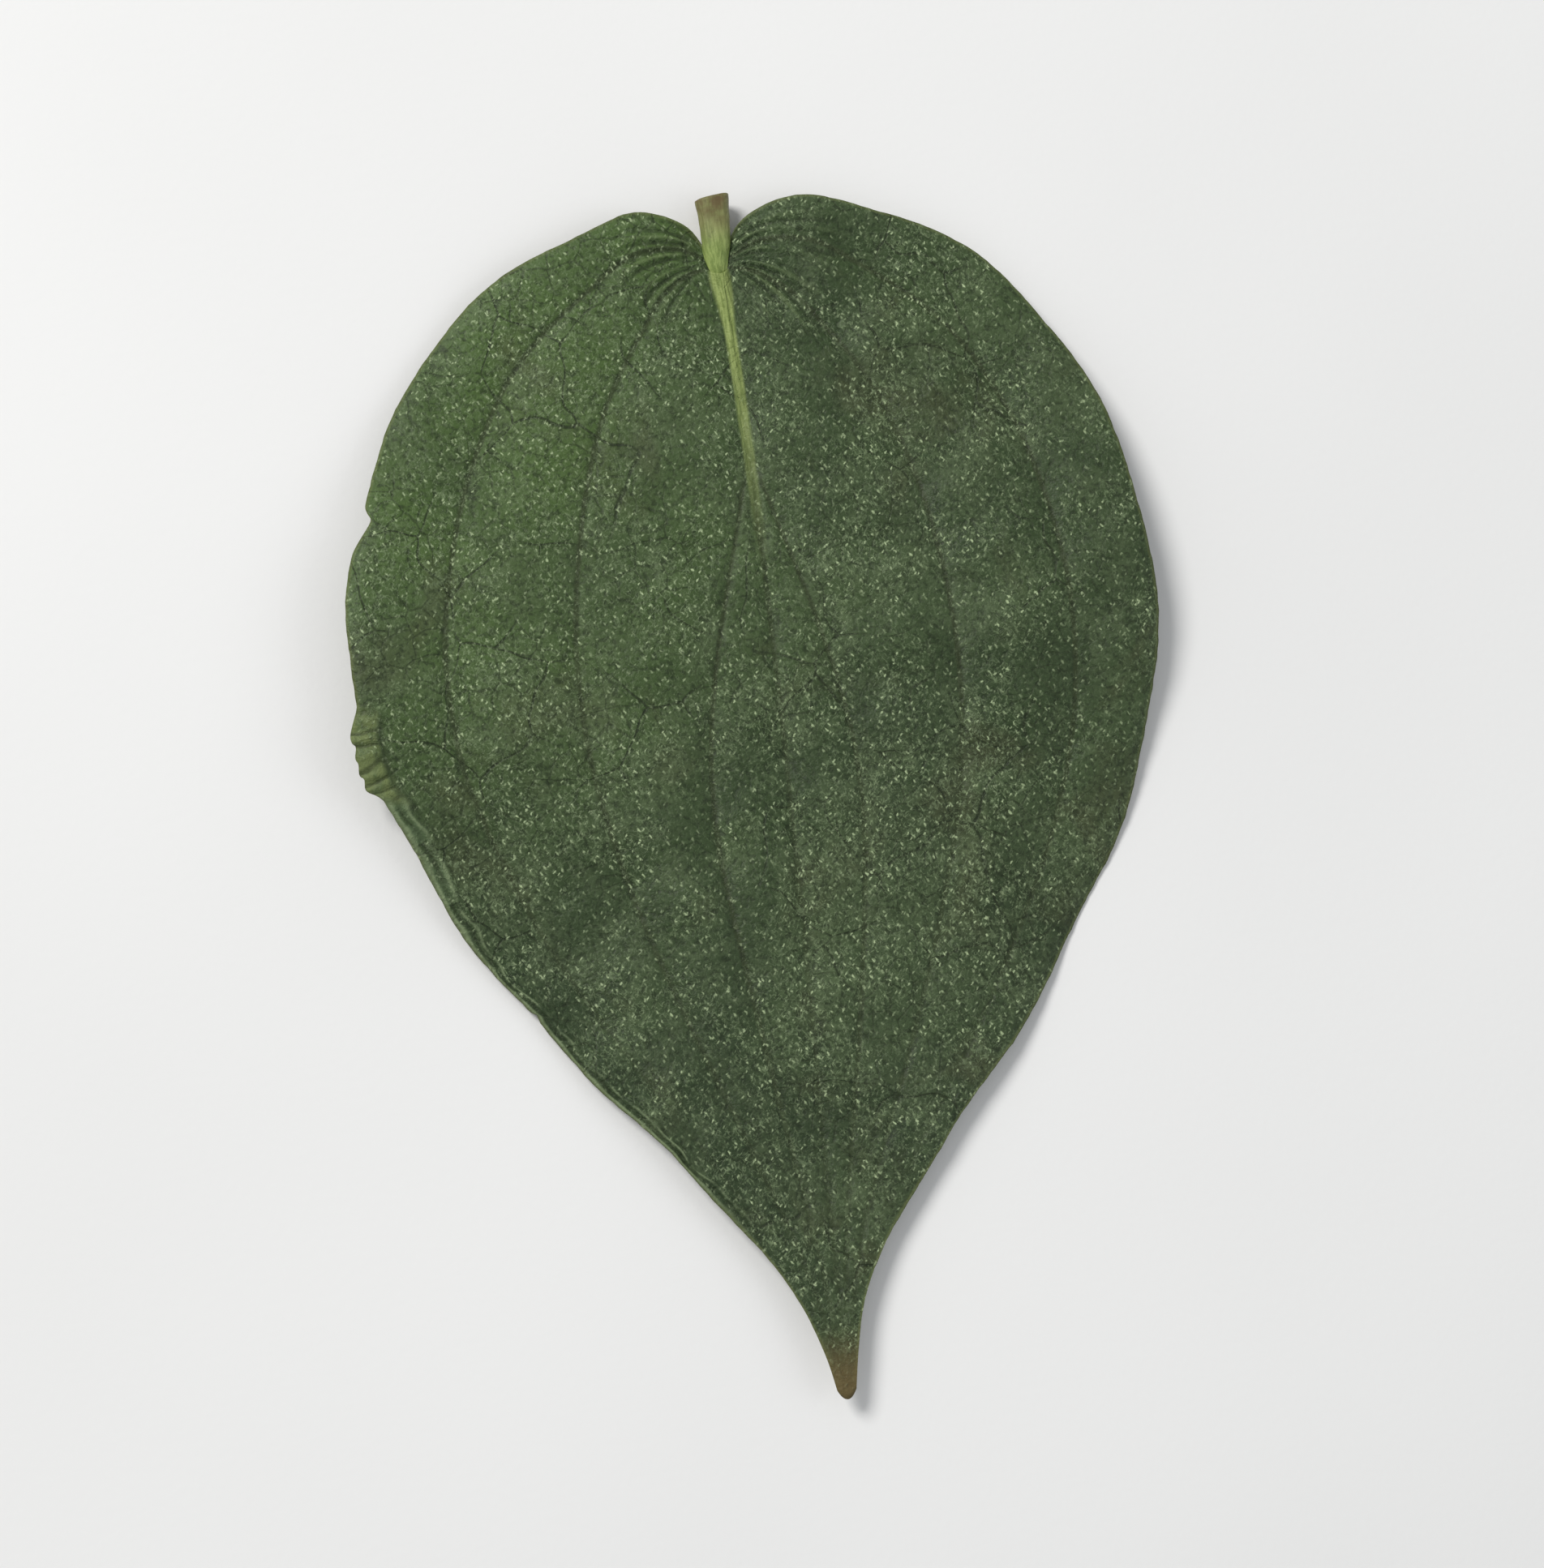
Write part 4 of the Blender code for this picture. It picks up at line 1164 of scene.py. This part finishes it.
def paint_upper_edges(shader):
    """Painted shade and highlight on the pleats and pale midrib near the stalk, a pale margin that is
    partly a painted edge highlight, its rolled stretch, and brown tip.
    """
    pleat = shader.value("pleat")
    # Painted shade in the pleats' troughs and painted highlight on their crests
    shader.paint(PLEAT_SHADE, shader.rise(pleat, -0.9, -0.1, 0.60, 0.0))
    shader.paint(PLEAT_HIGHLIGHT, shader.rise(pleat, 0.2, 1.1, 0.0, 0.40))
    base = shader.value("base_mm")
    near = shader.rise(base, 3.0, 19.0, 1.0, 0.0)
    reach = shader.rise(base, 0.3, 4.5, 0.90, 0.44)
    midrib = shader.rise(shader.maths("DIVIDE", shader.value("midrib_mm"), reach), 0.45, 1.0, 1.0, 0.0)
    fibres = shader.noise(0.14 * MM, 2, 0.5, 0.2, shader.turned(2, 10.0))
    pale = shader.blend(shader.rise(fibres, 0.35, 0.65), MIDRIB_GREEN, MIDRIB_PALE)
    shader.paint(pale, midrib, near)
    # A pale line along the margin: partly its own yellowish colour, partly a painted highlight on the edge
    shader.paint(UPPER_EDGE, shader.rise(shader.value("rim_mm"), 0.06, 0.24, 0.50, 0.0))
    paint_roll(shader)
    shader.paint(UPPER_TIP, shader.rise(shader.value("tip_mm"), 0.6, 4.5, 0.9, 0.0))


def upper_material():
    """The upper face: dark olive with a satin, finely wrinkled skin, with painted shade in its small
    hollows and pale specks and strokes of painted highlight.
    """
    shader = Shader("leaf_upper")
    paint_upper_ground(shader)
    fine_veins = paint_upper_veins(shader)
    dense = shader.patches(4.0 * MM, 0.36, 0.62, 0.20, 1.0)
    dome, tone = skin_cells(shader, 0.46 * MM, 35)
    pebbles = shader.noise(0.34 * MM, 2, 0.55, 0.4)
    # Painted shade in the low places of the pebbled skin, whose relief is also embossed below
    shader.paint(PEBBLE_SHADE, shader.rise(pebbles, 0.32, 0.54, 0.58, 0.0))
    shader.paint(SKIN_DOME, shader.rise(tone, 0.55, 0.85), dome, dense, 0.18)
    # Painted highlights: the pale strokes, winding wrinkles and scattered glints stand for light caught by
    # the skin's small ridges, which are also embossed below
    streaks = shader.most(strokes(shader, 0.155 * MM, 30), strokes(shader, 0.140 * MM, -35))
    streaks = shader.times(streaks, dense)
    shader.paint(STROKE_HIGHLIGHT, streaks, 0.62)
    wrinkles = fine_wrinkles(shader, (0.60 * MM, 0.036 * MM), (0.46 * MM, 0.032 * MM))
    wrinkles = shader.times(wrinkles, dense)
    shader.paint(UPPER_WRINKLE_HIGHLIGHT, wrinkles, 0.34)
    dots = shader.most(glints(shader, 0.42 * MM, 33), glints(shader, 0.35 * MM, -38))
    dots = shader.times(dots, shader.patches(0.9 * MM, 0.36, 0.60, 0.35, 1.0))
    dots = shader.times(dots, shader.rise(dense, 0.2, 1.0, 0.50, 1.0))
    shader.paint(SKIN_GLINT, dots, 0.92)
    paint_upper_edges(shader)
    shader.emboss(pebbles, 0.090 * MM)
    shader.emboss(dome, 0.012 * MM)
    shader.emboss(shader.noise(0.11 * MM, 2, 0.5), 0.014 * MM)
    shader.emboss(streaks, 0.024 * MM)
    shader.emboss(wrinkles, 0.020 * MM)
    shader.emboss(dots, 0.020 * MM)
    shader.emboss(fine_veins, -0.030 * MM)
    return shader.finish(shader.patches(2.4 * MM, 0.3, 0.7, 0.48, 0.64), 0.22)


def paint_under_net(shader, clear):
    """The net of small veins under the leaf: dark lines round puffed, paler islands.

    Clear is 0 on the ribs. Returns the islands.
    """
    puff = shader.rise(shader.value("areole_mm"), 0.10, 0.55)
    shader.paint(UNDER_PUFF, puff, shader.patches(2.6 * MM, 0.3, 0.65, 0.15, 0.65))
    fine = shader.times(net(shader, 0.60 * MM, (0.9 * MM, 0.16 * MM), 0.0, 0.13), clear)
    faint = shader.patches(2.2 * MM, 0.35, 0.65, 0.10, 0.55, detail=2, roughness=0.5)
    shader.paint(UNDER_FINE_NET, fine, faint)
    middle = shader.times(net(shader, 1.6 * MM, (1.8 * MM, 0.34 * MM), 0.006, 0.060), clear)
    strong = shader.patches(4.5 * MM, 0.35, 0.62, 0.30, 0.85, detail=2, roughness=0.5)
    shader.paint(UNDER_NET, middle, strong)
    cross = shader.rise(shader.value("cross_mm"), 0.04, 0.22, 0.62, 0.0)
    shader.paint(UNDER_CROSS_VEIN, cross, clear)
    return shader.rest(shader.most(fine, middle))


def under_material():
    """The underside: greyer and duller, with puffed islands in a dark net and pale ribs, painted highlights
    on its fine wrinkles and painted shade beside its ribs.
    """
    shader = Shader("leaf_under")
    vein = shader.value("vein_mm")
    power = shader.rise(shader.value("vein_power"), 0.0, 0.7, 0.2, 0.95)
    rib = shader.times(shader.rise(vein, 0.16, 0.38, 1.0, 0.0), power)
    clear = shader.rest(rib)
    blotch = shader.patches(12 * MM, 0.38, 0.64, roughness=0.55, warp=0.5)
    shader.ground(blotch, UNDER_DARK, UNDER_OLIVE)
    green = shader.patches(8 * MM, 0.45, 0.65, 0.0, 0.55, detail=2, roughness=0.5, warp=0.4)
    shader.paint(UNDER_GREEN, green)
    islands = paint_under_net(shader, clear)
    wrinkles = fine_wrinkles(shader, (0.60 * MM, 0.045 * MM), (0.45 * MM, 0.040 * MM))
    wrinkles = shader.times(wrinkles, clear)
    # Painted highlights on the fine wrinkles, which are also embossed below
    shader.paint(UNDER_WRINKLE_HIGHLIGHT, wrinkles, 0.38)
    # Painted shade alongside the raised ribs
    shader.paint(RIB_SHADE, shader.rise(vein, 0.25, 0.75, 0.45, 0.0))
    fibres = shader.patches(0.22 * MM, 0.35, 0.65, warp=0.3)
    young, old = shader.blend(fibres, *YOUNG_RIB), shader.blend(fibres, *OLD_RIB)
    shader.paint(shader.blend(shader.rise(shader.value("base_mm"), 2, 40), young, old), rib)
    shader.paint(UNDER_EDGE, shader.rise(shader.value("rim_mm"), 0.10, 0.45, 0.5, 0.0))
    shader.paint(UNDER_TIP, shader.rise(shader.value("tip_mm"), 0.6, 4.5, 0.85, 0.0))
    shader.emboss(shader.times(shader.noise(0.30 * MM, 2, 0.55, 0.4), clear), 0.045 * MM)
    shader.emboss(islands, 0.030 * MM)
    shader.emboss(wrinkles, 0.016 * MM)
    shader.emboss(shader.noise(0.10 * MM, 2, 0.5), 0.012 * MM)
    return shader.finish(shader.patches(2.0 * MM, 0.3, 0.7, 0.58, 0.72), 0.28)


def rim_material():
    """The thin cut of the margin: dry and yellowish brown."""
    shader = Shader("leaf_rim")
    shader.ground(shader.patches(1.5 * MM, 0.35, 0.65), *RIM_COLOURS)
    shader.emboss(shader.noise(0.12 * MM, 2, 0.5), 0.015 * MM)
    rough = shader.patches(0.8 * MM, 0.3, 0.7, 0.55, 0.68, detail=2, roughness=0.5)
    return shader.finish(rough, 0.4)


def stalk_material():
    """The stalk: pale yellow-green, streaked lengthways, browner towards its cut end."""
    shader = Shader("stalk_skin")
    from_end = shader.value("stalk_mm")
    streaks = shader.noise(0.16 * MM, 3, 0.6, 0.2, shader.turned(0, 9.0))
    streak = shader.rise(streaks, 0.36, 0.66)
    shader.ground(streak, *STALK_COLOURS)
    shader.paint(shader.blend(streak, *STALK_BASE_COLOURS), shader.rise(from_end, 1.6, 3.6))
    blotch = shader.noise(0.9 * MM, 3, 0.6, 0.5)
    brown = shader.rise(from_end, 0.0, 3.2, 0.95, 0.0)
    shader.paint(STALK_BROWN, brown, shader.rise(blotch, 0.32, 0.62, 0.55, 1.0))
    spots = shader.patches(0.35 * MM, 0.58, 0.76, 0.0, 0.4)
    shader.paint(STALK_SPOT, spots, shader.rise(from_end, 2.4, 4.0, 1.0, 0.2))
    shader.emboss(streaks, 0.050 * MM)
    shader.emboss(shader.noise(0.09 * MM, 2, 0.5), 0.012 * MM)
    return shader.finish(shader.rise(blotch, 0.3, 0.7, 0.48, 0.64), 0.30)


def cut_material():
    """The cut end of the stalk: dried, fibrous and dark brown."""
    shader = Shader("stalk_cut")
    fibres = shader.noise(0.13 * MM, 3, 0.65)
    shader.ground(shader.rise(fibres, 0.38, 0.62), *CUT_COLOURS)
    shader.emboss(fibres, 0.060 * MM)
    return shader.finish(shader.rise(fibres, 0.3, 0.7, 0.72, 0.86), 0.3)


def floor_material():
    """A plain pale sheet with the faintest unevenness."""
    shader = Shader("floor")
    shader.ground(shader.patches(60 * MM, 0.3, 0.7, detail=2, roughness=0.5), *FLOOR_COLOURS)
    shader.emboss(shader.noise(0.5 * MM, 2, 0.5), 0.010 * MM)
    rough = shader.patches(8 * MM, 0.3, 0.7, 0.80, 0.90, detail=2, roughness=0.5)
    return shader.finish(rough, 0.3)


# The floor, the lights and the camera. The camera's tilts are from straight above.
FLOOR_HALF = 1.2
FLOOR_TOP = -0.02 * MM
SURROUND_COLOUR = (0.96, 0.98, 1.0, 1.0)
SURROUND_STRENGTH = 0.42
KEY_PLACE = (-0.33, 0.31, 0.47)
KEY_SIZE = 0.26
KEY_POWER = 3.3
KEY_COLOUR = (1.0, 0.985, 0.96)
FILL_PLACE = (0.45, -0.10, 0.35)
FILL_SIZE = 0.40
FILL_POWER = 0.5
FILL_COLOUR = (0.95, 0.98, 1.0)
CAMERA_TURN = math.radians(6.5)
CAMERA_LEFTWARDS = math.radians(7.5)
CAMERA_TIPWARDS = math.radians(8.0)
CAMERA_DISTANCE = 0.23
CAMERA_LENS_MM = 92.0
CAMERA_SENSOR_MM = 36.0
CAMERA_CLIP = (0.01, 10.0)


def build_floor():
    """A wide flat sheet just under the leaf."""
    mesh = bpy.data.meshes.new("floor")
    corners = [(x * FLOOR_HALF, y * FLOOR_HALF, FLOOR_TOP) for x, y in ((-1, -1), (1, -1), (1, 1), (-1, 1))]
    mesh.from_pydata(corners, [], [(0, 1, 2, 3)])
    mesh.materials.append(floor_material())
    floor = bpy.data.objects.new("floor", mesh)
    bpy.context.scene.collection.objects.link(floor)


def add_area_light(name, place, size, power, colour):
    """A round soft light that shines on the leaf."""
    lamp = bpy.data.lights.new(name, "AREA")
    lamp.shape = "DISK"
    lamp.size = size
    lamp.energy = power
    lamp.color = colour
    item = bpy.data.objects.new(name, lamp)
    item.location = place
    item.rotation_euler = (-Vector(place)).to_track_quat("-Z", "Y").to_euler()
    bpy.context.scene.collection.objects.link(item)


def build_lights():
    """Plain soft studio light: an even surround, a large key from the upper left and a weak fill."""
    world = bpy.data.worlds.new("studio")
    world.use_nodes = True
    background = world.node_tree.nodes["Background"]
    background.inputs["Color"].default_value = SURROUND_COLOUR
    background.inputs["Strength"].default_value = SURROUND_STRENGTH
    bpy.context.scene.world = world
    add_area_light("key", KEY_PLACE, KEY_SIZE, KEY_POWER, KEY_COLOUR)
    add_area_light("fill", FILL_PLACE, FILL_SIZE, FILL_POWER, FILL_COLOUR)


def build_camera():
    """Look down on the leaf as the photograph does, a little from below left of square."""
    right = Vector((math.cos(CAMERA_TURN), -math.sin(CAMERA_TURN), 0.0))
    up = Vector((math.sin(CAMERA_TURN), math.cos(CAMERA_TURN), 0.0))
    toward = Vector((0, 0, 1)) - math.tan(CAMERA_LEFTWARDS) * right - math.tan(CAMERA_TIPWARDS) * up
    toward.normalize()
    side = up.cross(toward).normalized()
    top = toward.cross(side)
    place = (cad_low + cad_high) / 2 + CAMERA_DISTANCE * toward
    data = bpy.data.cameras.new("camera")
    data.lens = CAMERA_LENS_MM
    data.sensor_width = CAMERA_SENSOR_MM
    data.clip_start, data.clip_end = CAMERA_CLIP
    camera = bpy.data.objects.new("camera", data)
    camera.matrix_world = Matrix.Translation(place) @ Matrix((side, top, toward)).transposed().to_4x4()
    bpy.context.scene.collection.objects.link(camera)
    bpy.context.scene.camera = camera


def main():
    """Build the leaf's two pieces, the floor, the lights and the camera."""
    lie = read_lie()
    ground = build_blade(lie, [upper_material(), under_material(), rim_material()])
    build_stalk(lie, ground, [stalk_material(), cut_material()])
    build_floor()
    build_lights()
    build_camera()
    bpy.context.scene.view_settings.view_transform = "Standard"


main()
